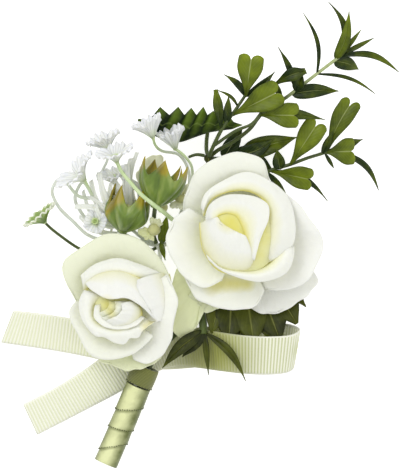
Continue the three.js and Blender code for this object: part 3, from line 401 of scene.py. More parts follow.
def floret_finish():
    """Thin white petal, greener in the throat, with painted grey shade in the valleys of its pleats; the
    outermost floret is green all along its back.
    """
    s = Shading("floret white", roughness=0.4, subsurface=0.3, specular=0.4)
    across, along = s.blade()
    mottled = s.times(s.noise(500), 0.12, along)
    throat = ((0.0, srgb(176, 196, 128)), (0.22, srgb(222, 230, 202)))
    white = s.ramp(mottled, *throat, (0.5, srgb(236, 238, 234)), (1.0, srgb(246, 247, 247)))
    green = s.ramp(mottled, (0.0, srgb(84, 116, 40)), (0.8, srgb(140, 166, 84)),
                   (0.98, srgb(232, 236, 214)))
    pleats = s.waves(across, 6.0)
    # Painted shade: grey in the valleys of the pleats
    valley = s.times(s.times(pleats, -4.0, 1.0, clamp=True), 0.4)
    s.color(s.mix(s.tone(), s.mix(valley, white, srgb(158, 164, 156)), green))
    s.bump(s.maths("ADD", pleats, s.times(s.noise(1800), 0.3)), 0.5)
    return s.material


def graded_stem_finish(name, axis, start, run, near, far):
    """A stem whose colours pass from one pair to another along an axis, from start (mm) over a run (mm)."""
    s = Shading(name, roughness=0.45, subsurface=0.1, specular=0.3)
    split = s.node("ShaderNodeSeparateXYZ", {0: s.place()})
    passed = s.times(split.outputs[axis], 1 / (run * MM), -start / run, clamp=True)
    mottled = s.noise(700)
    s.color(s.mix(passed, s.mix(mottled, *near), s.mix(mottled, *far)))
    s.bump(mottled, 0.3)
    return s.material


def cup_finish():
    """Bud cup: glossy green, streaked lengthwise, with yellow-brown points."""
    s = Shading("cup green", roughness=0.3, subsurface=0.04)
    streaks = s.streaks(13.0, 1.6)
    green = s.ramp(streaks, (0.25, srgb(66, 90, 18)), (0.5, srgb(106, 130, 46)), (0.8, srgb(154, 168, 88)))
    tips = s.ramp(streaks, (0.3, srgb(116, 104, 8)), (0.7, srgb(172, 156, 36)))
    warm = s.times(s.maths("SUBTRACT", s.noise(500), 0.5), 0.5, s.tone(), clamp=True)
    edge = s.times(s.maths("SUBTRACT", warm, 0.3), 3.0, clamp=True)
    s.color(s.mix(edge, green, tips))
    s.bump(streaks, 0.15)
    return s.material


def ribbon_finish(name, lit, shaded, ribs, lengthwise=True):
    """Ribbed ribbon with smooth selvedges: a lit colour on the rib crests and a painted shade in the valleys,
    deeper and greener round the loop, painted shade at the loop's two bends, and a painted olive shadow of
    the leaves by the knot.
    """
    s = Shading(name, roughness=0.6, sheen=0.3, specular=0.3)
    across, along = s.blade()
    if not lengthwise:
        across, along = along, across
    rib = s.times(s.waves(along, float(ribs)), 2.0)
    edge = s.maths("ABSOLUTE", s.maths("SUBTRACT", across, 0.5))
    selvedge = s.maths("GREATER_THAN", edge, 0.465)
    height = s.maths("MAXIMUM", s.maths("SMOOTH_MIN", rib, 0.75, 0.3), s.times(selvedge, 0.8))
    yarn = s.noise(5200, 2.0)
    # Painted shade in the rib valleys, deeper and greener round the loop
    valley = s.mix(s.near((252, 347, 8), 9, 7), shaded, srgb(176, 184, 104))
    # Painted shade where the loop bends over at its two ends
    bend_shade = s.maths("MAXIMUM", s.near((299, 347, 7), 0.5, 3), s.near((222, 349, 8), 2, 7))
    crest = s.mix(s.times(bend_shade, 0.7), lit, srgb(190, 198, 116))
    shaded_ribs = s.mix(s.times(yarn, 0.3, s.times(height, 0.85)), valley, crest)
    # Painted shadow of the leaves, olive green, on the ribbon by the knot
    leaf_shadow = s.times(s.near((204, 348, 6), 4.5, 13), 0.8)
    s.color(s.mix(leaf_shadow, shaded_ribs, srgb(138, 142, 40)))
    s.bump(s.maths("ADD", height, s.times(yarn, 0.15)), 0.65, 0.00022)
    return s.material


def satin_finish(name, lit, shaded):
    """Smooth wound tape: fine threads round the handle, soft uneven patches, and the tones' painted light,
    lighter on the handle's top and darker down its sides and along its seams.
    """
    s = Shading(name, roughness=0.42, sheen=0.1, specular=0.4)
    threads = s.waves(s.blade()[0], 150.0)
    patches = s.noise(330)
    # Painted light from the tones, lit on the handle's top and shaded down its sides and under the seams; the
    # patches are uneven colour
    lit_top_and_patches = s.times(s.tone(), 1.0, s.times(s.maths("SUBTRACT", patches, 0.55), 0.9))
    s.color(s.mix(s.times(threads, 0.25, lit_top_and_patches, clamp=True), shaded, lit))
    s.bump(s.times(threads, 0.5, s.times(patches, 0.8)), 0.35, 0.0001)
    return s.material


# Geometry Nodes trees: stems along paths, petals round a throat, and stitches along a seam


def new_tree(name, *inputs):
    """A tree that takes a geometry, the inputs and a material; and what those give inside it."""
    tree = bpy.data.node_groups.new(name, "GeometryNodeTree")
    tree.interface.new_socket("Geometry", in_out="INPUT", socket_type="NodeSocketGeometry")
    for label, kind, value in inputs:
        tree.interface.new_socket(label, in_out="INPUT", socket_type=kind).default_value = value
    tree.interface.new_socket("Material", in_out="INPUT", socket_type="NodeSocketMaterial")
    tree.interface.new_socket("Geometry", in_out="OUTPUT", socket_type="NodeSocketGeometry")
    return tree, tree.nodes.new("NodeGroupInput").outputs


def close_tree(tree, given, geometry):
    """Ends the tree in Realize Instances and Set Material."""
    real = add_node(tree, "GeometryNodeRealizeInstances", {0: geometry})
    paint = add_node(tree, "GeometryNodeSetMaterial", {"Geometry": real, "Material": given["Material"]})
    add_node(tree, "NodeGroupOutput", {0: paint})
    return tree


def stem_tree():
    """Round stems along lines of edges, with the thickness that each point of a line has."""
    tree, given = new_tree("Stems along paths", ("Sides", "NodeSocketInt", 10))
    curve = add_node(tree, "GeometryNodeMeshToCurve", {"Mesh": given["Geometry"]})
    ring = add_node(tree, "GeometryNodeCurvePrimitiveCircle", {"Resolution": given["Sides"], "Radius": 1.0})
    thick = add_node(tree, "GeometryNodeInputNamedAttribute", {"Name": "thickness"}, data_type="FLOAT")
    inputs = {"Curve": curve, "Profile Curve": ring, "Scale": thick, "Fill Caps": True}
    tube = add_node(tree, "GeometryNodeCurveToMesh", inputs)
    return close_tree(tree, given, add_node(tree, "GeometryNodeSetShadeSmooth", {0: tube}))


def whorl_tree():
    """Copies of one petal round a throat, each tilted and turned a little at random."""
    tree, given = new_tree(
        "Petals round a throat",
        ("Petals", "NodeSocketInt", 5),
        ("Throat Radius", "NodeSocketFloat", 0.0004),
        ("Unevenness", "NodeSocketFloat", 0.12),
        ("Seed", "NodeSocketInt", 1),
    )
    petals, uneven = given["Petals"], given["Unevenness"]
    ring = add_node(tree, "GeometryNodeMeshCircle", {"Vertices": petals, "Radius": given["Throat Radius"]})
    number = add_node(tree, "GeometryNodeInputIndex")
    step = add_node(tree, "ShaderNodeMath", {0: 2 * math.pi, 1: petals}, operation="DIVIDE")
    angle = add_node(tree, "ShaderNodeMath", {0: number, 1: step}, operation="MULTIPLY")
    low = add_node(tree, "ShaderNodeMath", {0: uneven, 1: -1.0}, operation="MULTIPLY")
    inputs = {0: low, 1: uneven, "Seed": given["Seed"]}
    jitter = add_node(tree, "FunctionNodeRandomValue", inputs, data_type="FLOAT_VECTOR")
    turned = add_node(tree, "ShaderNodeCombineXYZ", {2: angle})
    both = add_node(tree, "ShaderNodeVectorMath", {0: turned, 1: jitter}, operation="ADD")
    inputs = {"Points": ring, "Instance": given["Geometry"], "Rotation": both}
    return close_tree(tree, given, add_node(tree, "GeometryNodeInstanceOnPoints", inputs))


def stitch_tree():
    """Small beads of thread at even steps along lines of edges."""
    sizes = ("Spacing", "NodeSocketFloat", 0.0011), ("Stitch Radius", "NodeSocketFloat", 0.0002)
    tree, given = new_tree("Stitches along a seam", *sizes)
    curve = add_node(tree, "GeometryNodeMeshToCurve", {"Mesh": given["Geometry"]})
    even = add_node(tree, "GeometryNodeResampleCurve", {"Curve": curve, "Length": given["Spacing"]},
                    mode="LENGTH")
    bead = add_node(tree, "GeometryNodeMeshIcoSphere",
                    {"Subdivisions": 2, "Radius": given["Stitch Radius"]})
    scatter = add_node(tree, "GeometryNodeInstanceOnPoints", {"Points": even, "Instance": bead})
    return close_tree(tree, given, add_node(tree, "GeometryNodeSetShadeSmooth", {0: scatter}))


def grown(source, tree, values):
    """A piece with a plain mesh of what the tree makes of the source mesh."""
    piece = placed(source.name, source)
    grow = piece.modifiers.new("grow", "NODES")
    grow.node_group = tree
    for item in tree.interface.items_tree:
        if item.in_out == "INPUT" and item.name in values:
            grow[item.identifier] = values[item.name]
    graph = bpy.context.evaluated_depsgraph_get()
    made = bpy.data.meshes.new_from_object(piece.evaluated_get(graph))
    piece.modifiers.clear()
    piece.data = made
    return piece


def path_mesh(paths):
    """Polylines with a thickness at every point; each path is (points in mm, first and last radius in mm)."""
    places, edges, thick = [], [], []
    for points, first, last in paths:
        base = len(places)
        places += (points * MM).tolist()
        edges += [(base + k, base + k + 1) for k in range(len(points) - 1)]
        thick += (np.linspace(first, last, len(points)) * MM).tolist()
    made = bpy.data.meshes.new("paths")
    made.from_pydata(places, edges, [])
    made.attributes.new("thickness", "FLOAT", "POINT").data.foreach_set("value", thick)
    return made


def stems_piece(paths, finish, sides=10):
    """Round stems along the paths, as a new object."""
    return grown(path_mesh(paths), TREES["stems"], {"Sides": sides, "Material": finish})


def stitches_piece(seam, spacing, radius):
    """Beads of thread along the seams, as a new object; spacing and radius are in metres."""
    values = {"Spacing": spacing, "Stitch Radius": radius, "Material": FINISH["stitch"]}
    return grown(path_mesh(seam), TREES["stitches"], values)


# Roses


def lip(edge, end, outward, size, curl):
    """Rows that roll a petal's edge over, outwards and down, by curl degrees."""
    fall = outward * 0.5 - UP
    side = unit(fall - end * (fall * end).sum(1)[:, None])
    rows = []
    for k in range(1, 9):
        angle = math.radians(curl) * k / 8
        rows.append(edge + (side * (1 - math.cos(angle)) + end * math.sin(angle)) * size[:, None])
    return rows


def ruffled(grid, seed, size):
    """The grid with slow waves in it that grow towards its free edge."""
    v, u = shares(*grid.shape[:2])
    chance = np.random.default_rng(seed)
    rise = np.zeros_like(u)
    for waves in (1.5, 2.5, 4, 6):
        phase, slant = chance.uniform(0, 2 * math.pi), chance.uniform(-2, 2)
        rise += np.sin(waves * 2 * math.pi * u + slant * v + phase) / waves**0.5
    ahead = unit(np.gradient(grid, axis=0))
    return grid + (UP * 0.9 + ahead) * (size * rise * v**2)[..., None]


def petal(blades, bloom, rim, reach, lift, roll=0.9, curl=95, wave=0.0, tone=0.2, columns=44, rows=30):
    """Climbs from the foot of the bloom to its rim line, and rolls over outwards at the rim."""
    edge = smooth_line(spots(rim), columns)
    foot = spot(*bloom["foot"])
    plan = (edge - foot) * [1, 1, 0]
    outward = unit(plan)
    middle = unit(plan[columns // 2])
    size = roll * (0.1 + 0.9 * np.sin(np.linspace(0, math.pi, columns)) ** 0.6)
    edge = edge - outward * size[:, None] * 0.8
    edge[:, 2] += wave * np.sin(np.linspace(0, 5.2 * math.pi, columns) + len(rim))
    root = foot + unit(outward + middle) * bloom["root_radius"]
    root[:, 2] += bloom["root_height"]
    climb = edge - foot
    low, high = [foot + climb * [out, out, up] for out, up in zip(reach, lift)]
    grid = []
    for v in np.linspace(0, 1, rows):
        lower = (1 - v) ** 3 * root + 3 * v * (1 - v) ** 2 * low
        grid.append(lower + 3 * v * v * (1 - v) * high + v**3 * edge)
    grid += lip(edge, unit(edge - high), outward, size, curl)
    blades.add(ruffled(np.array(grid), len(blades.faces), 0.36), PETAL_SHEET, tone)


# Reach and lift are how far out and how high a petal's belly lies on its way from the foot to the rim.
OPEN = dict(reach=(0.38, 0.8), lift=(0.55, 1.05), roll=0.5, curl=75)
FLAT = dict(reach=(0.45, 0.8), lift=(0.4, 1.0), roll=0.4, curl=60)

LARGE_ROSE = dict(
    foot=(240, 236, 8),
    core_depth=(0.3, 0.06),
    root_radius=1.6,
    root_height=0.8,
    core=[(0, 0), (3.2, 0), (6.5, 6), (9.5, 12), (9.6, 14.4), (7.6, 16.6), (5.4, 17.9), (2.6, 18.6),
          (0, 18.8)],
    petals=[
        dict(OPEN, rim=[(183, 218, 15), (185, 198, 18), (198, 172, 20), (216, 159, 20.5), (240, 153, 20),
                        (262, 160, 19), (270, 184, 17)], wave=0.25, tone=0.2),
        dict(OPEN, rim=[(270, 186, 18), (290, 197, 19), (309, 218, 18.5), (323, 243, 16), (315, 266, 15.5),
                        (297, 285, 14.5), (266, 290, 14)], wave=0.2, tone=0.0),
        dict(FLAT, rim=[(306, 262, 10), (317, 281, 10.5), (296, 302, 11), (274, 314, 10.5), (250, 306, 10)],
             tone=0.05),
        dict(OPEN, rim=[(181, 270, 14), (196, 295, 14.5), (222, 307, 14.5), (243, 308, 14.5),
                        (258, 303, 14), (264, 288, 14)], wave=0.15, tone=0.1),
        dict(FLAT, rim=[(190, 293, 9.3), (199, 305, 9.2), (208, 311, 9.2), (218, 307, 9.3),
                        (227, 299, 9.5)], tone=0.9),
        dict(FLAT, rim=[(178, 264, 10.8), (172, 296, 9.8), (173, 327, 9.4), (183, 338, 9.2),
                        (197, 325, 9.2), (201, 306, 9.2)], tone=1.0),
        dict(OPEN, rim=[(190, 208, 20), (173, 221, 20.5), (167, 238, 20), (174, 259, 19), (188, 278, 18),
                        (206, 286, 17.5), (222, 280, 18)], wave=0.2, tone=0.12),
    ],
    mound=(27.2, 0.031, (240, 234)),
    folds=[
        dict(lines=[
            [(204, 216, -2), (212, 200, -1.8), (230, 192, -1.7), (250, 192, -1.7), (264, 202, -1.9),
             (266, 222, -2.2), (260, 244, -2.4), (250, 262, -2.4)],
            [(203, 213, -0.9), (211, 196, -0.7), (230, 187, -0.5), (252, 188, -0.5), (269, 199, -0.6),
             (273, 222, -0.8), (268, 244, -1.1), (256, 264, -1.4)],
            [(203, 210, -0.3), (211, 192, 0.1), (230, 182, 0.3), (251, 180, 0.3), (272, 191, 0.2),
             (283, 214, 0), (281, 238, -0.3), (272, 260, -0.8)],
            [(201, 208, -0.5), (206, 194, 0.2), (224, 181, 0.5), (247, 172.5, 0.6), (269, 181, 0.5),
             (286, 195, 0.3), (293, 214, 0), (294, 236, -0.4), (288, 254, -0.9)],
        ], roll=0.35, tuck=1.2),
        dict(lines=[
            [(206, 248, -3), (218, 262, -3), (240, 268, -3), (262, 266, -3), (278, 254, -3),
             (282, 240, -3)],
            [(206, 252, -1.4), (220, 266, -1.1), (241, 271.5, -0.9), (261, 270, -1.2), (279, 257, -1),
             (287, 244, -1)],
            [(207, 255, -0.4), (221, 268, 0.1), (241, 274, 0.4), (262, 275, 0.6), (282, 265, 0.6),
             (290, 247, 0.2)],
            [(208, 257, -0.6), (222, 269, 0), (240, 276, 0.4), (262, 280, 0.6), (285, 272, 0.6),
             (292, 259, 0.3), (293, 246, 0)],
        ], roll=0.4, tuck=1.2),
        dict(lines=[
            [(200, 222, -3), (204, 250, -3), (220, 270, -3), (246, 272, -3), (262, 262, -3)],
            [(203, 222, -0.9), (208, 248, -0.8), (223, 264, -0.7), (245, 267, -0.7), (258, 259, -0.9)],
            [(207, 219, -0.1), (214, 239, 0), (227, 253, 0.1), (244, 259, 0), (256, 253, -0.2)],
            [(211, 216, 0), (220, 228, 0.2), (231, 238, 0.25), (245, 246, 0.1), (257, 246, -0.1)],
            [(216, 216, -0.3), (222, 223, -0.1), (231, 229, -0.1), (241, 234, -0.1), (252, 238, -0.4)],
        ], roll=0.25, tuck=0.6),
        dict(lines=[
            [(215, 222, -0.8), (219, 215.5, -0.8), (227, 213, -0.7), (236, 216, -0.6), (241, 224, -0.5),
             (245, 235, -0.4), (249, 247, -0.5), (252, 259, -0.9)],
            [(212, 221, 0), (217, 212, 0), (227, 208, 0.1), (239, 209, 0.2), (247, 218, 0.3),
             (251, 232, 0.4), (252.5, 245, 0.35), (253, 259, 0.1)],
            [(209, 223, 0), (213, 210, 0), (226, 202, 0.1), (243, 201, 0.3), (255, 209, 0.5),
             (258, 226, 0.65), (255, 243, 0.55), (253.5, 259, 0.2)],
            [(206, 223, -0.8), (209, 207, -0.8), (222, 197, -0.6), (241, 195, -0.2), (257, 198, 0.3),
             (267, 205, 0.6), (268, 217, 0.8), (262, 232, 0.7), (257, 246, 0.6), (254, 260, 0.2)],
        ], roll=0.3, tuck=0.3),
    ],
)
SMALL_ROSE = dict(
    foot=(118, 308, 7),
    core_depth=(0.3, 0.14),
    root_radius=1.4,
    root_height=0.8,
    core=[(0, 0), (2.8, 0), (4.4, 5), (6.4, 8.5), (6.4, 9.8), (5, 11.2), (2.6, 12.2), (0, 12.6)],
    petals=[
        dict(OPEN, rim=[(78, 302, 12.5), (68, 282, 14), (66, 262, 15), (80, 250, 15.5), (110, 233, 16),
                        (143, 241, 15.5), (163, 262, 14.5), (171, 282, 13.5)], wave=0.2, tone=0.6),
        dict(OPEN, rim=[(168, 273, 16.5), (175, 288, 17), (177, 304, 17), (174, 321, 16.5), (172, 338, 15),
                        (163, 353, 13), (149, 362, 12), (134, 357, 11.5)], tone=0.1),
        dict(OPEN, rim=[(78, 300, 13.5), (71, 310, 14), (80, 333, 14.5), (89, 351, 14.5), (104, 358, 14.5),
                        (120, 356, 14.5), (134, 352, 14.5), (146, 343, 15), (153, 334, 15.5)], wave=0.15,
                        roll=0.9),
        dict(FLAT, rim=[(92, 350, 9.6), (103, 361, 9.8), (120, 366, 10), (138, 368.5, 10), (153, 364, 10),
                        (162, 355, 9.8)], tone=0.9),
    ],
    mound=(21, 0.036, (118, 300)),
    folds=[
        dict(lines=[
            [(86, 292, -3), (98, 280, -3), (119, 275, -3), (139, 280, -3), (156, 292, -3)],
            [(84, 284, -1), (98, 274, -0.8), (119, 270, -0.6), (138, 274, -0.7), (158, 283, -1)],
            [(83, 278, 0), (98, 267, 0.3), (119, 262, 0.4), (137, 267, 0.4), (157, 275, 0.2)],
            [(82, 275, -0.2), (97, 264, 0.3), (119, 258.5, 0.4), (137, 263, 0.4), (155, 270, 0.3),
             (165, 275, 0)],
        ], roll=0.5, tuck=0.8),
        dict(lines=[
            [(106, 296, -3), (97, 304, -3), (98, 318, -3), (112, 324, -3), (130, 323, -3), (143, 314, -3)],
            [(98, 292, -1), (92, 304, -0.8), (94, 320, -0.7), (109, 328, -0.6), (131, 327, -0.7),
             (148, 317, -1)],
            [(90, 290, 0), (86, 304, 0.2), (89, 322, 0.3), (105, 332, 0.4), (130, 332, 0.4),
             (151, 320, 0.1)],
            [(86, 289, -0.3), (81, 302, 0), (84, 318, 0.2), (93, 330, 0.3), (98, 334, 0.8), (106, 335, 0.4),
             (117, 341, 0.8), (126, 342, 0.4), (131, 336, 0.8), (139, 336, 0.4), (143, 329, 0.6),
             (156, 320, 0.3)],
        ], roll=0.35, tuck=1.2),
        dict(lines=[
            [(104, 302, -2.4), (103, 312, -2.4), (113, 319, -2.4), (128, 319, -2.4), (138, 312, -2.4)],
            [(101, 303, -0.9), (101, 314, -0.7), (112, 322, -0.6), (129, 322, -0.6), (141, 314, -0.9)],
            [(97, 304, 0), (97, 317, 0.1), (111, 326, 0.2), (131, 326, 0.2), (146, 316, 0)],
        ], roll=0.25, tuck=1),
        dict(lines=[
            [(124, 300, -2), (126, 308, -2), (121, 315, -2), (111, 320, -2)],
            [(116, 300, -1.2), (117, 306, -0.9), (113, 311.5, -0.9), (103, 316, -1.2)],
            [(111, 299, -1), (111, 304.5, -0.7), (107, 309, -0.7), (99, 313, -1)],
        ], roll=0.15, tuck=0.3, tone=0.5),
        dict(lines=[
            [(130, 299, -1.8), (134, 309, -1.8), (130, 318, -1.8), (115, 324, -1.8)],
            [(122, 300, -0.6), (125, 308, -0.3), (121, 315, -0.3), (108, 320, -0.6)],
            [(116, 300, -0.3), (118, 307, 0), (114, 312.5, 0), (103, 317, -0.3)],
        ], roll=0.15, tuck=0.3, tone=0.4),
        dict(lines=[
            [(137, 299, -2), (143, 311, -2), (139, 322, -2), (121, 329, -2)],
            [(131, 300, -0.3), (137, 309, -0.1), (133, 319, -0.1), (116, 326, -0.4)],
            [(126, 301, 0.3), (130, 309, 0.6), (125, 317, 0.6), (111, 322, 0.3)],
            [(123, 302, 0.2), (124, 308.5, 0.7), (119, 315, 0.7), (107, 320, 0.2)],
        ], roll=0.25, tuck=0.4, tone=0.1),
        dict(lines=[
            [(88, 282, -2), (102, 272, -2), (120, 269, -2), (137, 274, -2), (152, 282, -2)],
            [(87, 283, -0.6), (102, 274, -0.2), (120, 272, 0), (136, 278, 0), (151, 290, -0.2)],
            [(88, 283.5, 0.1), (103, 281, 0.6), (121, 282, 0.8), (136, 289, 0.7), (149, 304, 0.4)],
            [(88, 284, -0.1), (97, 291, 0.4), (110, 297, 0.6), (127, 296, 0.7), (143, 305, 0.6),
             (158, 321, 0.3)],
        ], roll=0.3, tuck=0.3, tone=0.0),
        dict(lines=[
            [(170, 273, -2.2), (173, 292, -2.5), (172, 308, -2.5), (164, 322, -2.5)],
            [(164, 272, -0.2), (168, 291, 0), (167, 306, 0), (162, 321, -0.4)],
            [(156, 273, 0.6), (161, 291, 1), (162, 306, 0.9), (160, 320, 0.3)],
            [(146, 276, 0.7), (152, 292, 1), (157, 306, 0.9), (159, 320, 0.4)],
            [(135, 280, 0.4), (142, 293, 0.7), (151, 307, 0.7), (158, 321, 0.3)],
        ], roll=0.2, tuck=0.2, tone=0.0),
    ],
)


def fold(blades, bloom, lines, roll=0.0, tuck=0.0, tone=0.1, columns=48, rows=26):
    """A petal drawn over the mound of the bloom, through lines from its hidden base to its free edge."""
    peak, fall, middle = bloom["mound"]
    middle = spot(*middle, 0)
    across = np.array([smooth_line(spots(each), columns) for each in lines])
    grid = np.array([smooth_line(across[:, k], rows) for k in range(columns)]).transpose(1, 0, 2)
    away = (grid[..., :2] - middle[:2]) ** 2
    ends = (1 - np.sin(np.linspace(0, math.pi, columns))) ** 3
    grid[..., 2] += peak - fall * away.sum(-1) - tuck * ends
    if roll:
        edge = grid[-1]
        end = unit(edge - grid[-2])
        plan = unit((edge - middle) * [1, 1, 0])
        side = np.sign((end * plan).sum(1))[:, None]
        size = roll * np.sin(np.linspace(0, math.pi, columns)) ** 0.5
        grid = np.concatenate([grid, np.array(lip(edge, end, plan * side, size, 100))])
        pull = np.linspace(0, 1, len(grid) - 4)[:, None, None] ** 0.5
        grid[4:] -= end * [1, 1, 0] * size[:, None] * 0.8 * pull
    blades.add(ruffled(grid, len(blades.faces), 0.16), PETAL_SHEET, tone)


def bloom_piece(node, bloom, finish):
    """A core, the petals that climb from the foot round it, and the folds drawn over them."""
    blades = Blades()
    blades.add_turned(bloom["core"], spot(*bloom["foot"]), UP, depth=bloom.get("core_depth", (0.4, 0.2)))
    for each in bloom["petals"]:
        petal(blades, bloom, **each)
    for each in bloom.get("folds", ()):
        fold(blades, bloom, **each)
    return dressed(placed(node, blades.mesh(node, finish)), node)


# Leaves. An outline gives the leaf's width for t along it, as a share of its full width, and at its tip.


def blunt(t):
    """Widest at 0.7 of the length, with a round end."""
    return 0.2 + 0.8 * np.sqrt(np.clip(1 - np.abs((t - 0.7) / np.where(t < 0.7, 0.72, 0.31)) ** 3, 0, 1))


def spread(t):
    """Widens slowly up to 0.8 of the length, and stays wide."""
    return 0.12 + 0.88 * (0.5 - 0.5 * np.cos(np.pi * np.minimum(1, t / 0.8)))


LANCE = dict(half=lambda t: 0.12 + 0.88 * np.sin(np.pi * t**0.8), tip=0.05)
BROAD = dict(half=lambda t: 0.14 + 0.86 * np.sin(np.pi * t**0.65) ** 0.8, tip=0.05)
SEPAL = dict(half=lambda t: 0.14 + 0.86 * np.sin(np.pi * t**1.5) ** 0.7, tip=0.05)
BLUNT = dict(half=blunt, tip=0.1)
STRAP = dict(half=lambda t: 0.4 + 0.6 * np.sin(np.pi * t**0.9), tip=0.12)
STRAP_WIDE = dict(half=lambda t: 0.3 + 0.7 * np.sin(np.pi * np.minimum(0.8, t)), tip=0.7)
SPOON = dict(half=lambda t: 0.24 + 0.76 * np.sin(np.pi * np.minimum(0.9, t**1.6)), tip=0.45)
LOBED = dict(half=spread, tip=0.9, lobed=True)

# Points of a leaf along and across it
LEAF_POINTS = (20, 21)


def leaf(blades, base, tip, width, outline=LANCE, bow=0.0, arch=0.08, roll=0, crease=0.25, tone=0.5,
         size=LEAF_POINTS):
    """A leaf from base to tip, bowed sideways, arched, rolled by degrees and creased along its rib."""
    start, end = spot(*base), spot(*tip)
    length = np.linalg.norm(end - start)
    ahead = unit(end - start)
    side = turn(unit(np.cross(ahead, UP)), ahead, math.radians(roll))
    face = unit(np.cross(side, ahead))
    rows, columns = size
    t = np.linspace(0, 1, rows)[:, None]
    s = np.linspace(-1, 1, columns)[None, :]
    half = outline["half"](t) * (1 - t**6) + outline["tip"] * t**6
    along = t * np.ones_like(s)
    if outline.get("lobed"):
        lobes = 0.84 + 0.16 * np.sqrt(1 - ((np.abs(s) - 0.55) / 0.56) ** 2)
        along = t * (1 + (lobes - 1) * t**2)
        half = outline["half"](t) * (1.08 - 0.06 * t**4)
    hump = np.sin(np.pi * along)
    groove = 0.12 * np.exp(-((s / 0.16) ** 2)) * np.minimum(1, width / 3)
    droop = 0.06 * width * np.abs(s) ** 3 * half
    out = bow * length * hump + s * half * width / 2
    up = arch * length * hump + crease * np.abs(s) * half * width / 2 - groove - droop
    place = start + ahead * (along * length)[..., None] + side * out[..., None] + face * up[..., None]
    blades.add(place, LEAF_SHEET, tone)


def foliage(node, leaves, stems, finish, stem, ball=None):
    """Leaves and their stems as one piece, with a ball (its middle and radius) where the stems meet."""
    blades = Blades()
    for each in leaves:
        leaf(blades, **each)
    if ball:
        middle, radius = ball
        angles = np.linspace(-0.5, 0.5, 9) * math.pi
        profile = [(radius * math.cos(a) if abs(a) < 1.5 else 0, radius * math.sin(a)) for a in angles]
        blades.add_turned(profile, spot(*middle), UP, 16)
    piece = stems_piece(stems, FINISH[stem])
    joined_with(piece, blades.mesh("leaves", FINISH[finish]))
    return dressed(piece, node)


def line(points, first, last=None, count=None):
    """A path through places on the grid, with its first and last radius in mm."""
    count = count or max(6, len(points) * 5)
    return (smooth_line(spots(points), count), first, last if last is not None else first)


# Middle line of the handle, from the cut ends to the neck
HANDLE = [(106, 463, 2.8), (113, 447, 2.8), (121, 428, 3), (130, 407, 4.1), (139, 385, 5), (147, 366, 5.5)]
# How far each stem's middle lies from the middle of the bundle
BUNDLE_RADIUS = 1.1


def headings(points):
    """At each point of a line, unit vectors ahead, to its side and at right angles to both."""
    last = len(points) - 1
    for k in range(len(points)):
        ahead = unit(points[min(k + 1, last)] - points[max(k - 1, 0)])
        side = unit(np.cross(ahead, UP))
        yield ahead, side, np.cross(side, ahead)


def long_stem(quarter, climb, radius):
    """One of the four stems inside the handle, from its cut end through the neck and up its own climb."""
    points = spots(HANDLE)
    angle = (quarter + 0.5) * math.pi / 2
    out, up = BUNDLE_RADIUS * math.cos(angle), BUNDLE_RADIUS * math.sin(angle)
    made = []
    for k, (ahead, side, rise) in enumerate(headings(points)):
        made.append(points[k] + out * side + up * rise + ahead * (0 if k else 1))
    return (smooth_line(np.vstack([made, spots(climb)]), 60), radius, radius * 0.9)


LONG_SPRAY = dict(
    stems=[((0.52, 0.4, 50), [(209, 158, 8.6), (217, 151, 9.6), (233, 142, 10), (250, 129, 9.6),
                              (262, 114, 9), (287, 97, 7.5), (300, 87, 6.6), (318, 73, 5.6), (335, 60, 4.8),
                              (345, 52, 4.8)])],
    leaves=[
        dict(base=(340, 56, 4.8), tip=(328, 2, 9), width=1.9, bow=0.16, roll=25, tone=0.2),
        dict(base=(336, 59, 4.8), tip=(349, 11, 8.5), width=2.9, bow=0.07, outline=BROAD, tone=0.7),
        dict(base=(341, 55, 4.8), tip=(361, 30, 7.5), width=1.3, outline=STRAP, tone=0.5),
        dict(base=(341, 55, 4.8), tip=(374, 38, 5), width=1.3, outline=STRAP, tone=0.4),
        dict(base=(340, 56, 4.8), tip=(399, 72, 3.4), width=1.7, bow=-0.15, outline=STRAP, tone=0.4),
        dict(base=(334, 61, 4.8), tip=(359, 69, 0.4), width=3.6, bow=-0.06, outline=BROAD, tone=0.35),
        dict(base=(317, 74, 5.6), tip=(303, 13, 8), width=1.1, bow=0.12, outline=STRAP, tone=0.2),
        dict(base=(317, 74, 5.6), tip=(376, 94, 3.2), width=1.0, bow=-0.1, outline=STRAP, tone=0.3),
        dict(base=(292, 94, 7), tip=(339, 91, 5.2), width=3.7, bow=-0.04, outline=BROAD, tone=0.3),
        dict(base=(296, 90, 7), tip=(278, 47, 9.5), width=1.7, bow=0.05, tone=0.2),
        dict(base=(296, 91, 7), tip=(303, 73, 9.2), width=3, crease=0.5, tone=0.15),
        dict(base=(276, 84, 8), tip=(306, 71, 9.8), width=3.6, bow=-0.06, outline=SPOON, tone=0.3),
        dict(base=(281, 101, 7.8), tip=(276, 82, 8.6), width=1.6, outline=STRAP, tone=0.3),
    ],
)
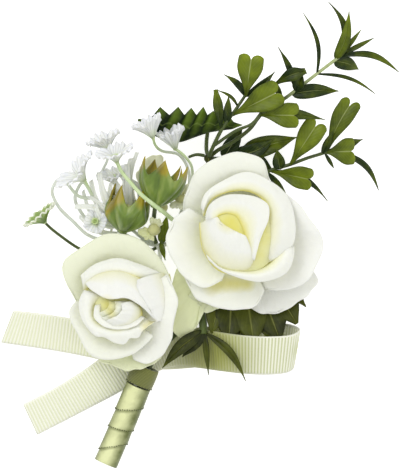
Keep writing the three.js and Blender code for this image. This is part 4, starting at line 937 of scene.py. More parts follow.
MIDDLE_SPRAY = dict(
    stems=[
        ((0.52, 0.4, 30), [(209, 158, 8.6), (212, 150, 11), (223, 128, 12.6), (233, 114, 12.8),
                           (240, 104, 13), (246, 95, 13.2)]),
        ((0.42, 0.36, 20), [(214, 146, 11.4), (236, 131, 12.6), (252, 124, 13.4), (262, 112, 13.6)]),
    ],
    leaves=[
        dict(base=(246, 97, 13.2), tip=(252, 55, 15.5), width=6.2, outline=LOBED, tone=0.8),
        dict(base=(246, 97, 13), tip=(224, 75, 14), width=1.8, bow=0.1, tone=0.2),
        dict(base=(246, 97, 13), tip=(275, 72, 13.5), width=2.2, bow=0.05, tone=0.2),
        dict(base=(233, 115, 12.8), tip=(281, 91, 15), width=6.6, outline=LOBED, crease=0.4, tone=0.75),
        dict(base=(259, 115, 13.5), tip=(299, 116, 14.6), width=6, outline=LOBED, crease=0.35, tone=0.75),
        dict(base=(260, 115, 13.4), tip=(325, 120, 11.4), width=2.9, bow=-0.05, tone=0.2),
        dict(base=(222, 130, 12.5), tip=(216, 90, 15), width=2.6, outline=SPOON, tone=0.5),
        dict(base=(227, 123, 12.7), tip=(229, 96, 14.2), width=2.2, outline=BROAD, tone=0.3),
        dict(base=(238, 107, 12.9), tip=(218, 91, 15.6), width=0.9, outline=STRAP, bow=0.12, tone=0.3),
    ],
)
LOW_SPRAY = dict(
    stems=[((0.52, 0.4, 40), [(212, 190, 6.4), (228, 188, 5.2), (250, 180, 5), (271, 170, 6), (291, 164, 7),
                              (307, 158, 7.2), (323, 153, 7), (336, 148, 6.8)])],
    leaves=[
        dict(base=(290, 165, 7.1), tip=(319, 121, 10), width=5.8, outline=LOBED, tone=0.8),
        dict(base=(327, 152, 7), tip=(353, 100, 10), width=5.2, outline=LOBED, bow=-0.04, tone=0.6),
        dict(base=(325, 152, 7), tip=(355, 151, 7.2), width=6.4, outline=LOBED, crease=0.2, tone=0.7),
        dict(base=(322, 154, 7), tip=(334, 129, 9.6), width=1.9, tone=0.2),
        dict(base=(334, 149, 6.8), tip=(363, 139, 6), width=2.6, tone=0.3),
        dict(base=(332, 150, 6.8), tip=(379, 190, 0.4), width=1.6, bow=-0.15, outline=STRAP, tone=0.15),
        dict(base=(325, 153, 6.9), tip=(334, 168, 5.5), width=1, outline=STRAP, tone=0.2),
        dict(base=(272, 171, 6.2), tip=(313, 180, 8), width=5.4, outline=LOBED, crease=0.45, tone=0.75),
        dict(base=(276, 170, 6), tip=(328, 201, 4.4), width=1.6, bow=-0.12, tone=0.15),
        dict(base=(280, 169, 6.5), tip=(277, 149, 7.6), width=3.2, outline=BROAD, tone=0.2),
        dict(base=(268, 172, 5.9), tip=(288, 196, 4.4), width=1.7, tone=0.2),
    ],
)
BROAD_LEAVES = dict(
    stems=[((0.5, 0.4, 20), [(209, 158, 8.4), (222, 158, 6.6), (240, 153, 5.4), (252, 149, 5)])],
    leaves=[
        dict(base=(243, 152, 5.2), tip=(297, 137, 5), width=5.2, outline=BROAD, crease=0.4, tone=0.5),
        dict(base=(232, 155, 6), tip=(275, 138, 6.6), width=4.2, bow=0.1, outline=BROAD, tone=0.15),
        dict(base=(243, 153, 5.2), tip=(274, 171, 3.2), width=4.4, outline=BROAD, tone=0.2),
        dict(base=(224, 158, 6.5), tip=(243, 127, 7), width=4, outline=BROAD, tone=0.1),
    ],
)
NECK_SEPALS = dict(
    stems=[((1.1, 1.0, 14), [(199, 300, 5.6), (203, 318, 7.2), (204, 334, 9)])],
    leaves=[
        dict(base=(205, 330, 9.2), tip=(209, 374, 8.6), width=1.6, tone=0.4),
        dict(base=(206, 332, 9.2), tip=(246, 380, 10.6), width=2.2, bow=-0.1, arch=0.1, tone=0.6),
        dict(base=(203, 331, 9.2), tip=(163, 367, 9.4), width=3.6, bow=0.06, outline=BROAD, tone=0.4),
        dict(base=(203, 330, 9.2), tip=(183, 356, 8.6), width=3.8, outline=BROAD, tone=0.15),
    ],
)
# Sepals of the large rose, seen from their backs; the last two lie lower
BACK = dict(arch=-0.03, crease=0.1, outline=BLUNT)
LARGE_SEPALS = [
    dict(BACK, base=(249, 240, 6.8), tip=(306, 306, 8.8), width=6, outline=SEPAL, tone=0.5),
    dict(BACK, base=(247, 241, 6.8), tip=(297, 323, 9), width=9, tone=0.3),
    dict(BACK, base=(244, 243, 6.7), tip=(280, 339, 9.3), width=10, tone=0.15),
    dict(BACK, base=(240, 244, 6.6), tip=(254, 342, 9.6), width=10, tone=0.6),
    dict(BACK, base=(236, 243, 6.6), tip=(229, 341, 9.4), width=9.4, tone=0.25),
    dict(BACK, base=(234, 242, 6.6), tip=(212, 332, 9), width=7, tone=0.5),
    dict(BACK, base=(246, 244, 5.9), tip=(270, 337, 8.4), width=9, arch=-0.02, tone=0.5),
    dict(BACK, base=(239, 245, 5.8), tip=(241, 340, 8.4), width=9, arch=-0.02, tone=0.1),
]
SMALL_SEPALS = [
    dict(base=base, tip=tip, width=2.6, arch=0.02, crease=0.15)
    for base, tip in (
        ((112, 310, 5.4), (92, 326, 6.6)), ((112, 304, 5.4), (92, 286, 6.6)),
        ((121, 302, 5.4), (132, 276, 6.4)), ((119, 314, 5.4), (112, 338, 6.4)),
    )
]
LOW_BUD_SEPALS = [
    dict(base=(162, 242, 8.2), tip=(168, 214, 10.6), width=2.6, outline=BROAD, tone=0.8),
    dict(base=(161, 241, 8), tip=(166, 260, 8.6), width=1.4, tone=0.7),
]
# Where the sprays part from the main stem
WHORL = (209, 158, 8.5)


def calyx_piece(node, bloom, depth, sepals, quarter, climb):
    """The cone under a bloom, its sepals, and the stem that runs down from it into the handle."""
    blades = Blades()
    foot = spot(*bloom["foot"])
    base = foot * [1, 1, 0] + UP * (foot[2] - 0.3 - depth)
    cone = [(0, 0), (0.8, 0), (1.8, depth * 0.4), (3.0, depth * 0.8), (3.6, depth), (0, depth)]
    blades.add_turned(cone, base, UP)
    for each in sepals:
        leaf(blades, **each)
    piece = stems_piece([long_stem(quarter, climb, 0.58)], FINISH["dark stem"], 12)
    joined_with(piece, blades.mesh("sepals", FINISH["dark leaf"]))
    return dressed(piece, node)


def toothed_leaf_piece():
    """The saw-toothed leaf, folded along its lower edge, pleated from its rib to its teeth; its tones are
    painted light and shade, lighter on the pleats and towards the teeth, and darker on the lower fold.
    """
    rib = [(138, 124, 9), (152, 134, 9), (169, 141, 9), (181, 142, 9), (196, 137, 9), (210, 132.5, 9),
           (232, 129, 9)]
    rib = smooth_line(spots(rib), 169)
    teeth = [(139, 119), (150, 120), (161, 107), (170, 115), (179, 107), (185, 115), (192, 108), (197, 115)]
    teeth += [(204, 107), (208, 115), (214, 111), (220, 118), (228, 114), (234, 122), (243, 125)]
    rows = 14
    blades = Blades()
    # Upper blade and lower fold, each with its rise and its tone; the lower fold's smaller tone is painted
    # shade
    for rise, tone in ((2.6, 1.1), (-1.2, 0.5)):
        corners = np.array([spot(x, y, 9 + rise) for x, y in teeth])
        t = np.linspace(0, len(teeth) - 1, len(rib))
        low = np.minimum(t.astype(int), len(teeth) - 2)
        part = t - low
        eased = np.where(low % 2 == 0, part**1.4, 1 - (1 - part) ** 1.4)[:, None]
        crest = corners[low] * (1 - eased) + corners[low + 1] * eased
        pleat = np.cos(np.pi * t)[:, None] * 0.6
        # Painted light in bands along the pleats
        pleat_light = 0.5 + 0.45 * np.sin(np.pi * t + 0.9)
        grid = []
        for s in np.linspace(0, 1, rows):
            row = rib * (1 - s) + crest * s
            row = row + UP * (pleat * math.sin(math.pi * min(1, s * 1.3) / 2) * (1 if rise > 0 else -1))
            row = row + UP * math.sin(math.pi * s) * 0.5
            grid.append(row)
        # Painted light and shade: the pleat light, falling off towards the rib, and scaled by each blade's
        # tone
        shade = tone * pleat_light[:, None] * np.linspace(0.35, 1.2, rows)[None, ::-1]
        blades.add(np.array(grid).transpose(1, 0, 2)[:, ::-1], PETAL_SHEET, shade)
    stalk = [(209, 158, 8.6), (207, 150, 7.4), (207, 141, 7.6), (208, 132, 8.8), (208, 127, 9.4)]
    twig = [(189, 157, 9.4), (197, 154.5, 9.6), (205, 155.5, 9.4)]
    piece = stems_piece([line(stalk, 0.5), line(twig, 0.35, 0.45)], FINISH["dark stem"])
    joined_with(piece, blades.mesh("toothed blades", FINISH["toothed leaf"]))
    return dressed(piece, "toothed_leaf")


# Florets

FLORETS = [
    dict(throat=(154, 138, 16.5), facing=(-0.4, 1, 0.1), length=6.4, opened=38, spin=0),
    dict(throat=(176, 149, 13.4), facing=(-0.3, 1, 0.2), length=6.4, opened=31, spin=36),
    dict(throat=(118, 162, 17.4), facing=(-0.25, 1, 0.35), length=6, opened=58, spin=0),
    dict(throat=(109, 150, 9.5), facing=(-0.45, 1, 0.2), length=6, opened=46, spin=36),
    dict(throat=(86, 180, 14), facing=(-0.75, 0.7, 0.25), petals=6, length=7.6, opened=58, spin=10),
    dict(throat=(46, 222, 8), facing=(-0.62, 0.78, 0.1), petals=6, length=5.4, opened=60, spin=0, green=1.0,
         heart=1.2),
    dict(throat=(115, 182, 7), facing=(-0.3, 1, 0.4), length=4.8, opened=52, spin=10),
    dict(throat=(97, 222, 9.5), facing=(-0.15, 0.2, 1), petals=4, length=3, opened=60, spin=30),
]

# Where the floret stems meet, and each stem's route from its throat down to there
HUB = (160, 246, 6)
FLORET_ROUTES = [
    [(154, 138, 16.5), (156, 145, 13.8), (163, 151, 10), (180, 155, 8.4), (190, 176, 7.2), (178, 220, 6.2),
     HUB],
    [(176, 149, 13.4), (184, 155, 12.6), (192, 166, 11), (192, 185, 8.5), (182, 214, 7), HUB],
    [(118, 162, 17.4), (123, 172, 18.4), (132, 183, 19.4), (143, 195, 19.8), (154, 204, 19), (167, 214, 16),
     (178, 226, 11), (173, 240, 7.5), HUB],
    [(109, 150, 9.5), (108, 160, 6.8), (102, 176, 4), (112, 208, 4), (136, 232, 4.6), HUB],
    [(86, 180, 14), (89, 186, 12), (95, 198, 9), (104, 214, 6), (126, 234, 4.6), HUB],
    [(46, 222, 8), (51, 227, 8), (61, 235, 7.6), (80, 248, 6.4), (104, 258, 5), (136, 256, 4.6), HUB],
    [(115, 182, 7), (117, 190, 4.8), (124, 208, 3.6), (136, 232, 4.4), HUB],
    [(97, 222, 9.5), (98, 226, 7.6), (106, 234, 5.2), (126, 238, 4.4), HUB],
]
# Which of the routes is thick, and which is dark green
THICK_ROUTE = 2
GREEN_ROUTE = 5
CURLS = [
    [(95, 198, 9), (80, 196, 9), (62, 178, 8.4), (53, 190, 6.4), (60, 207, 4.4), (74, 221, 4.4),
     (88, 234, 4.4), (106, 240, 4.6), (126, 238, 4.4)],
    [(95, 198, 9), (84, 182, 8.4), (78, 190, 8), (76, 199, 7.4), (79, 207, 6.6), (90, 222, 5.2),
     (106, 234, 4.6), (126, 234, 4.6)],
]


def strips():
    """Narrow translucent strips that fan out among the floret stems."""
    ends = [
        (126, 226, 84, 190, -0.2), (124, 224, 92, 180, -0.14), (124, 222, 100, 172, -0.1),
        (126, 220, 108, 170, 0.08), (128, 218, 116, 168, 0.14), (130, 216, 128, 164, 0.06),
        (134, 212, 138, 152, -0.08), (138, 208, 132, 158, -0.16), (120, 230, 76, 206, 0.16),
        (118, 232, 80, 216, -0.2), (112, 232, 90, 196, 0.24), (128, 222, 96, 204, -0.26),
        (120, 226, 106, 192, 0.3), (130, 220, 112, 182, -0.3), (136, 210, 124, 176, 0.24),
    ]
    shape = dict(outline=STRAP_WIDE, crease=0.3, arch=0.12, tone=0.0, size=(16, 9))
    made = []
    for k, (x, y, end_x, end_y, bow) in enumerate(ends):
        base, tip = (x, y, 5.4 + 0.3 * (k % 4)), (end_x, end_y, 8.4 + 1.3 * (k % 3))
        width, roll = 1.5 + 0.25 * (k % 3), 10 * (k % 5 - 2)
        made.append(dict(shape, base=base, tip=tip, width=width, bow=bow, roll=roll))
    return made


def floret_petal(length, slope):
    """One pleated petal along +X and up +Z in the throat's own frame, its outer edge frilled."""
    rows, columns = 20, 31
    t = np.linspace(0, 1, rows)[:, None]
    s = np.linspace(-1, 1, columns)[None, :]
    scallop = 1 - np.abs(np.cos(1.5 * math.pi * s)) ** 0.7
    reach = length * t * (1 - 0.16 * s**2 * t - 0.16 * scallop * t**4)
    half = 0.4 + 2.1 * np.sin(math.pi / 2 * np.minimum(1, t / 0.9)) ** 1.2
    lean = slope * (0.55 + 0.45 * t)
    rise = 0.07 * (s * half) ** 2 + 0.3 * np.cos(3 * math.pi * s) * t**2
    x = reach * np.sin(lean) - rise * np.cos(lean)
    z = reach * np.cos(lean) + rise * np.sin(lean)
    y = s * half * np.ones_like(t)
    return np.stack([x, y, z], -1)


def floret_piece(number, throat, facing, length, opened, spin, petals=5, green=0.0, heart=0.75):
    """A throat of radius heart with petals round it, which lean out by opened degrees."""
    node = f"floret_{number}"
    blades = Blades()
    blades.add(floret_petal(length, math.radians(opened))[:, ::-1], FLORET_SHEET, green)
    values = {
        "Petals": petals,
        "Throat Radius": 0.35 * MM,
        "Unevenness": 0.1,
        "Seed": number,
        "Material": FINISH["floret"],
    }
    piece = grown(blades.mesh(node, FINISH["floret"]), TREES["whorl"], values)
    axis = unit(facing)
    side = turn(unit(np.cross(axis, UP)), axis, math.radians(spin))
    stand = np.eye(4)
    stand[:3] = np.stack([side, np.cross(axis, side), axis, spot(*throat) * MM], 1)
    piece.data.transform(Matrix(stand.tolist()))
    inside = Blades()
    profile = [(0, -0.4), (0.5, -0.3), (0.6, 0.4), (heart, 1.3), (heart + 0.1, 1.9)]
    profile += [(heart - 0.1, 1.9), (heart - 0.2, 1.3), (0.3, 0.6), (0, 0.5)]
    inside.add_turned(profile, spot(*throat), axis, 24, 0.2)
    joined_with(piece, inside.mesh("heart", FINISH["throat"]))
    return dressed(piece, node)


# Bud cups and the small cream blooms

CUPS = {
    "bud_cup_left": dict(
        base=(123, 231, 10.6), axis=(0.25, 1, 0.02), radius=4.9, height=6.4, tip_height=11.4, spin=18,
        warm_side=3.4, fullness=1.5,
        stalk=[(123, 231, 10.6), (130, 243, 9), (143, 251, 7.8), (155, 251, 7.4)],
    ),
    "bud_cup_right": dict(
        base=(156, 206, 14.6), axis=(0.26, 1, -0.03), radius=5.2, height=7, tip_height=11.6, spin=50,
        warm_side=20.0, fullness=1.1,
        stalk=[(156, 206, 14.6), (155, 214, 10.6), (154, 224, 8.2), (154, 234, 7.8), (157, 243, 7.4)],
    ),
}


def cup_piece(node, base, axis, radius, height, tip_height, spin, warm_side, fullness, stalk):
    """A bowl whose rim rises into five pointed sepals, with cream petals closed inside it."""
    foot = spot(*base)
    up = unit(axis)
    side = turn(unit(np.cross(up, UP)), up, math.radians(spin))
    other = np.cross(up, side)
    around, rows = 161, 30
    angle = np.linspace(0, 1, around) * 2 * math.pi * 0.99
    ring = np.cos(angle)[:, None] * side + np.sin(angle)[:, None] * other
    to_tip = np.abs(angle * 2.5 / math.pi % 1 - 0.5) * 2
    crest = height + (tip_height - height) * to_tip**1.5
    grid, warmth = [], []
    for t in np.linspace(0.05, 1, rows):
        swell = math.sin(min(1, t * fullness) * math.pi / 2) ** 0.8
        close = 1 - 0.16 * max(0, t - 0.55) / 0.45 * (fullness > 1.2)
        out = 0.5 + radius * swell * close + 0.18 * to_tip * math.sin(math.pi * t)
        grid.append(foot + ring * out[:, None] + up * (crest * t)[:, None])
        yellow = np.exp(-(((angle - warm_side) / 0.45) ** 2))
        warmth.append(np.clip((crest * t / height - 0.75) * 1.5 * to_tip + yellow * (0.3 + 0.7 * t), 0, 1))
    blades = Blades()
    blades.add(np.array(grid), CUP_SHEET, np.array(warmth))
    blades.add_turned([(0, -0.6), (1.0, -0.5), (1.6, 0.4), (2.2, 1.4), (0, 1.6)], foot, up, 24, 0.0)
    heart = Blades()
    inner = [(0, 0.8), (1.8, 1.4), (radius * 0.7, height * 0.55), (radius * 0.7, height * 0.9)]
    heart.add_turned(inner + [(radius * 0.3, height * 1.06), (0, height * 1.08)], foot, up, 32, 0.9)
    piece = stems_piece([line(stalk, 0.55)], FINISH["dark stem"], 12)
    joined_with(piece, blades.mesh("bowl", FINISH["cup"]))
    joined_with(piece, heart.mesh("heart", FINISH["cream"]))
    return dressed(piece, node)


CREAM_BLOOMS = {
    "bud_petals_right": dict(
        foot=(163, 207, 7.6), root_radius=0.8, root_height=0.4,
        core=[(0, 0), (1.2, 0), (1.4, 0.6), (0.8, 1.4), (0, 1.8)],
        petals=[
            dict(FLAT, rim=[(141, 186, 7.4), (138, 174, 7.4), (145, 161, 7.4), (155, 155, 7.2),
                            (164, 158, 7)], tone=0.3),
        ],
    ),
    "side_bloom": dict(
        foot=(181, 198, 9.6), root_radius=0.9, root_height=0.4,
        core=[(0, 0), (1, 0), (1.4, 0.5), (1, 1.2), (0, 1.6)],
        petals=[
            dict(FLAT, rim=[(170, 203, 11.4), (174, 207, 11.6), (181, 208.5, 11.6), (188, 205, 11.4)],
                 tone=0.2),
            dict(FLAT, rim=[(182, 193, 11.2), (184, 186, 11.4), (188, 184, 11.4), (191, 190, 11.2)],
                 tone=0.3),
        ],
    ),
    "low_bud_petals": dict(
        foot=(155, 229, 10.2), root_radius=0.8, root_height=0.4,
        core=[(0, 0), (1, 0), (1.6, 0.8), (1.2, 2), (0, 2.6)],
        petals=[
            dict(FLAT, rim=[(150, 221, 12), (154, 218, 12.6), (160, 219, 12.6), (162, 225, 12)], tone=0.6),
            dict(FLAT, rim=[(144, 226, 11.4), (140, 232, 11.2), (145, 238, 11.2), (155, 239, 11)],
                 tone=0.9),
        ],
    ),
}

# Ribbon stations: plan place, height, how far the upper edge leans to the right, and degrees it is raised
RIBBON = [
    (8, 326, 2.7, 0.4, 30), (24, 328, 2.7, 0.3, 30), (52, 332, 2.7, 0.15, 30), (82, 337, 2.65, 0.14, 28),
    (112, 342, 2.2, 0.13, 18), (136, 346, 0.9, 0.1, 4), (160, 349, 0.5, 0.02, 1), (185, 348, 0.9, 0, 4),
    (215, 345, 1.4, 0, 12), (245, 342.5, 1.8, 0, 18), (270, 341.5, 1.8, 0.04, 18),
    (288, 342.5, 3.4, 0.12, 18), (297, 347, 6.2, 0.16, 18), (290, 352.5, 9.5, 0.12, 18),
    (270, 354.5, 11.1, 0.06, 18), (245, 353.5, 10.7, 0, 18), (220, 350.5, 8.6, -0.06, 14),
    (198, 347.5, 4.3, -0.1, 8), (178, 346, 1.9, -0.14, 3), (160, 349, 1.5, -0.3, 1),
    (140, 358, 1.5, -0.55, 1), (118, 370, 1.9, -0.62, 10), (92, 386, 2.6, -0.62, 26),
    (62, 403, 2.95, -0.55, 33), (31, 419, 2.95, -0.45, 33),
]

# The lowest that the ribbon lies, in mm
RIBBON_LOW = 0.22


def ribbon_piece(width, pitch, lit):
    """One band through its stations, with a rib at every pitch; a sheet's declared width is over 10 mm."""
    centre = spots([each[:3] for each in RIBBON])
    edge = []
    for *_, lean, raised in RIBBON:
        plan = unit([lean, 1, 0]) * math.cos(math.radians(raised))
        edge.append(plan + UP * math.sin(math.radians(raised)))
    both = smooth_line(np.hstack([centre, np.array(edge) * 0.001]), 420)
    middle, across = both[:, :3], unit(both[:, 3:])
    length = np.linalg.norm(np.diff(middle, axis=0), axis=1).sum()
    s = np.linspace(-0.5, 0.5, 13)
    grid = middle[:, None] + across[:, None] * (s * width / MM)[None, :, None]
    grid[..., 2] = np.maximum(grid[..., 2], RIBBON_LOW)
    blades = Blades()
    blades.add(grid, RIBBON_SHEET, thin_edge=0.7)
    finish = ribbon_finish("ribbon cloth", lit, srgb(232, 237, 190), round(length * MM / pitch))
    piece = dressed(placed("ribbon", blades.mesh("ribbon", finish)), "ribbon")
    return piece


# Wrapped handle, in mm: the sleeves' inside; the tape's radius at the cut end, how much wider it is at the
# neck, and how far a turn stands over the next; and the radius of the tie band
SLEEVE_INSIDE = 2.0
TAPE_RADIUS = 2.86
TAPE_WIDENS = 0.28
TAPE_LAP = 0.2
TIE_RADIUS = 3.32

# Points round each ring of the wrap and of the tie band
WRAP_POINTS = 65
TIE_POINTS = 49

# Seams of the wound tape: how far up the handle each lies, and how far it climbs to the right-hand side
SEAMS = [(4.6, 1.9), (9.6, 0.6), (15.1, 1.3)]


def tube_rings(points, radii):
    """Rings round the handle's line, as a grid that runs along and around."""
    made = []
    for point, radius, (_, side, rise) in zip(points, radii, headings(points)):
        angle = np.linspace(0, 2 * math.pi, len(radius))[:, None]
        made.append(point + radius[:, None] * (np.cos(angle) * side + np.sin(angle) * rise))
    return np.array(made)


def wrap_radius(far, angle, run):
    """Radius of the wound tape; each turn swells towards its lower edge, and laps the turn below it."""
    heights = [place + climb * math.cos(angle) for place, climb in SEAMS]
    low = max([h for h in heights if h <= far], default=-2.0)
    high = min([h for h in heights if h > far], default=run + 1.0)
    return TAPE_RADIUS + TAPE_WIDENS * far / run + TAPE_LAP * (1 - (far - low) / (high - low))


def handle_shell(outer, inner, shade=1.0):
    """A closed sleeve from rings of points outside and inside; its tones are painted light, bright on the top
    and falling to nothing down the sides, and the painted shade that is given dims the outer rings.
    """
    blades = Blades()
    grid = np.concatenate([outer, inner[::-1]], axis=0)[:, :-1]
    rows, columns = grid.shape[:2]
    index = np.arange(rows * columns).reshape(rows, columns)
    after = np.roll(index, -1, axis=0)
    faces = np.stack([index, np.roll(index, -1, 1), np.roll(after, -1, 1), after], -1).reshape(-1, 4)
    blades.faces.append(faces[:, ::-1])
    blades.places.append(grid.reshape(-1, 3))
    v, u = np.meshgrid(np.linspace(0, 1, rows), np.arange(columns) / columns, indexing="ij")
    blades.maps.append(np.stack([v, u], -1).reshape(-1, 2))
    # Painted light: tone 1 on the top of the sleeve, falling to 0 down its sides and under it
    top = np.clip(np.sin(u * 2 * math.pi - 0.25), 0, 1) ** 3.2
    top[: len(outer)] *= shade
    blades.tones.append(top.ravel())
    return blades


def wrap_piece():
    """The handle's wrap: one satin tape wound in slanted turns, with small stitches along the seams, painted
    shadow along the seams and painted light on its top.
    """
    points = smooth_line(spots(HANDLE[:5]), 120)
    run = distances(points)
    angle = np.linspace(0, 2 * math.pi, WRAP_POINTS)
    radii = [np.array([wrap_radius(far, a, run[-1]) for a in angle]) for far in run]
    radii[0] = radii[0] - 0.25
    outer = tube_rings(points, radii)
    outer[..., 2] = np.maximum(outer[..., 2], 0.02)
    inner = tube_rings(points, [np.full(WRAP_POINTS, SLEEVE_INSIDE)] * len(points))
    shade = np.ones((len(run), WRAP_POINTS - 1))
    seams = []
    for place, climb in SEAMS:
        above = run[:, None] - place - climb * np.cos(angle[None, :-1])
        # Painted shadow along each seam, under the edge of the turn that laps it
        shade *= 1 - 0.6 * np.exp(-(((above + 0.1) / 0.45) ** 2))
        seam = []
        for a in np.linspace(-0.15 * math.pi, 1.15 * math.pi, 40):
            far = place + climb * math.cos(a) + 0.12
            k = min(int(np.searchsorted(run, far)), len(points) - 2)
            radius = np.full(WRAP_POINTS, wrap_radius(far, a, run[-1]) + 0.02)
            step = int(round(a / (2 * math.pi) * (WRAP_POINTS - 1))) % (WRAP_POINTS - 1)
            seam.append(tube_rings(points[k : k + 2], [radius] * 2)[0][step])
        seams.append((np.array(seam), 0.1, 0.1))
    piece = stitches_piece(seams, 0.0006, 0.00015)
    joined_with(piece, handle_shell(outer, inner, shade).mesh("wrap tape", FINISH["wrap"]))
    return dressed(piece, "stem_wrap")


def tie_piece():
    """The ribbed band round the neck, with stitches along its lower seam."""
    low, high = spots(HANDLE[4:])
    start = low + unit(high - low) * 0.3
    steps = np.linspace(0, 1, 60)
    points = start + (high - start) * steps[:, None]
    bulge = TIE_RADIUS + 0.14 * np.sin(steps * math.pi) ** 0.5
    outer = tube_rings(points, [np.full(TIE_POINTS, r) for r in bulge])
    inner = tube_rings(points, [np.full(TIE_POINTS, SLEEVE_INSIDE)] * len(points))
    seam = tube_rings(points[1:3], [np.full(TIE_POINTS, TIE_RADIUS + 0.1)] * 2)[0]
    piece = stitches_piece([(seam, 0.2, 0.2)], 0.00085, 0.00014)
    joined_with(piece, handle_shell(outer, inner).mesh("tie band", FINISH["tie"]))
    return dressed(piece, "neck_tie")


# The finishes and the trees that several pieces share, by name
FINISH = {}
TREES = {}

# Painted shade in the yellow of the depths, in the creases under the roses' petal edges, and yellow patches
# on the roses' cores: a place, and the reach and run of each in mm
CREVICE_SHADE_AND_CORE_YELLOW = [
    ((212, 286, 13.5), 0.4, 2.6), ((221, 284, 13.4), 0.5, 2.4), ((230, 283, 13.3), 0.5, 2.4),
    ((239, 283, 13.3), 0.5, 2.2), ((248, 284, 13.4), 0.4, 1.8), ((146, 326, 17.4), 0.3, 1.7),
    ((109, 303, 20.3), 0.8, 2.2), ((113, 312, 20.3), 0.3, 1.5), ((152, 321, 16.6), 0.3, 1.5),
    ((229, 222, 26.1), 0.8, 2.6),
]


def make_finishes(colors):
    """Fills both tables, with the colours that a user chose."""
    petals, depths, leaves = tuple(colors.petals), tuple(colors.depths), tuple(colors.leaves)
    FINISH["ivory"] = petal_finish("rose ivory", depths, srgb(240, 239, 204), petals, CREVICE_SHADE_AND_CORE_YELLOW)
    FINISH["cream"] = petal_finish("bud cream", srgb(186, 180, 104), srgb(218, 216, 170),
                                   srgb(238, 238, 216))
    FINISH["dark leaf"] = leaf_finish("dark leaf", srgb(32, 38, 4), srgb(98, 106, 24), srgb(156, 160, 84))
    greens = srgb(14, 32, 2), srgb(104, 130, 32), srgb(122, 142, 70)
    FINISH["toothed leaf"] = leaf_finish("toothed leaf", *greens, 0.45)
    FINISH["spray leaf"] = leaf_finish("spray leaf", srgb(22, 40, 2), leaves, srgb(186, 194, 132), 0.32)
    FINISH["dark stem"] = stem_finish("dark stem", srgb(42, 56, 14), srgb(84, 100, 34))
    gray, green = (srgb(208, 214, 200), srgb(238, 242, 234)), (srgb(180, 204, 140), srgb(216, 230, 188))
    FINISH["pale stem"] = graded_stem_finish("pale stem", "Z", 8, 5, gray, green)
    FINISH["floret"] = floret_finish()
    dark, pale = (srgb(44, 56, 14), srgb(78, 92, 34)), (srgb(150, 164, 104), srgb(190, 200, 150))
    FINISH["long stem"] = graded_stem_finish("long stem", "X", 21, 3, dark, pale)
    FINISH["strip"] = stem_finish("pale strip", srgb(236, 240, 226), srgb(252, 253, 248), 0.2)
    FINISH["throat"] = stem_finish("floret throat", srgb(176, 200, 120), srgb(222, 234, 190), 0.3)
    FINISH["cup"] = cup_finish()
    FINISH["wrap"] = satin_finish("wrap satin", tuple(colors.wrap), srgb(88, 98, 28))
    FINISH["stitch"] = stem_finish("seam stitch", srgb(44, 50, 12), srgb(84, 90, 34))
    FINISH["tie"] = ribbon_finish("tie cloth", srgb(136, 140, 76), srgb(72, 78, 28), 28, False)
    TREES["stems"] = stem_tree()
    TREES["whorl"] = whorl_tree()
    TREES["stitches"] = stitch_tree()


# Settings, operators and panel


class BoutonniereSizes(bpy.types.PropertyGroup):
    """Sizes a user would change."""

    camera_height: bpy.props.FloatProperty(
        name="Camera height", description="Height of the camera over the flowers", default=2.0,
        unit="LENGTH"
    )
    view_length: bpy.props.FloatProperty(
        name="View length", description="Length of the view's long side on the table", default=0.1175,
        unit="LENGTH"
    )
    ribbon_width: bpy.props.FloatProperty(
        name="Ribbon width", description="Width of the ribbon", default=0.010, unit="LENGTH"
    )
    rib_pitch: bpy.props.FloatProperty(
        name="Rib pitch", description="Distance between the ribbon's ribs", default=0.0008, unit="LENGTH"
    )


class BoutonniereLights(bpy.types.PropertyGroup):
    """Strength of the studio lights, and the floor's colour."""

    sky: bpy.props.FloatProperty(name="Sky", description="Strength of the even white surroundings",
                                 default=0.8)
    key: bpy.props.FloatProperty(
        name="Key light", description="Power of the soft light above", default=2.6, unit="POWER"
    )
    floor: bpy.props.FloatVectorProperty(
        name="Floor colour", description="Colour of the plain floor", default=(0.98, 0.98, 0.98),
        subtype="COLOR"
    )


class BoutonniereColors(bpy.types.PropertyGroup):
    """Colours a user would change."""

    petals: bpy.props.FloatVectorProperty(
        name="Petals", description="Colour of the roses' rims", default=srgb(243, 244, 236), subtype="COLOR"
    )
    # The deep colour is partly the petals' own yellow-green and partly painted shade deep between the petals
    depths: bpy.props.FloatVectorProperty(
        name="Depths", description="Colour deep between the petals", default=srgb(228, 218, 110),
        subtype="COLOR"
    )
    leaves: bpy.props.FloatVectorProperty(
        name="Leaves", description="Bright green of the leafy sprays", default=srgb(122, 138, 22),
        subtype="COLOR"
    )
    # The lit colour of the rib crests; the valleys take a painted shade
    ribbon: bpy.props.FloatVectorProperty(
        name="Ribbon", description="Colour of the ribbon's ribs", default=srgb(255, 255, 244),
        subtype="COLOR"
    )
    # The lit colour on the handle's top; its sides take a painted shade
    wrap: bpy.props.FloatVectorProperty(
        name="Wrap", description="Colour of the handle's satin tape", default=srgb(226, 230, 174),
        subtype="COLOR"
    )


# Camera film width in mm, half the floor's side and its depth under the flowers in metres, and how much
# the floor glows, so that it stays as pale as plain paper
FILM_WIDTH = 36.0
FLOOR_REACH = 3.0
FLOOR_DROP = 0.0002
FLOOR_GLOW = 0.6


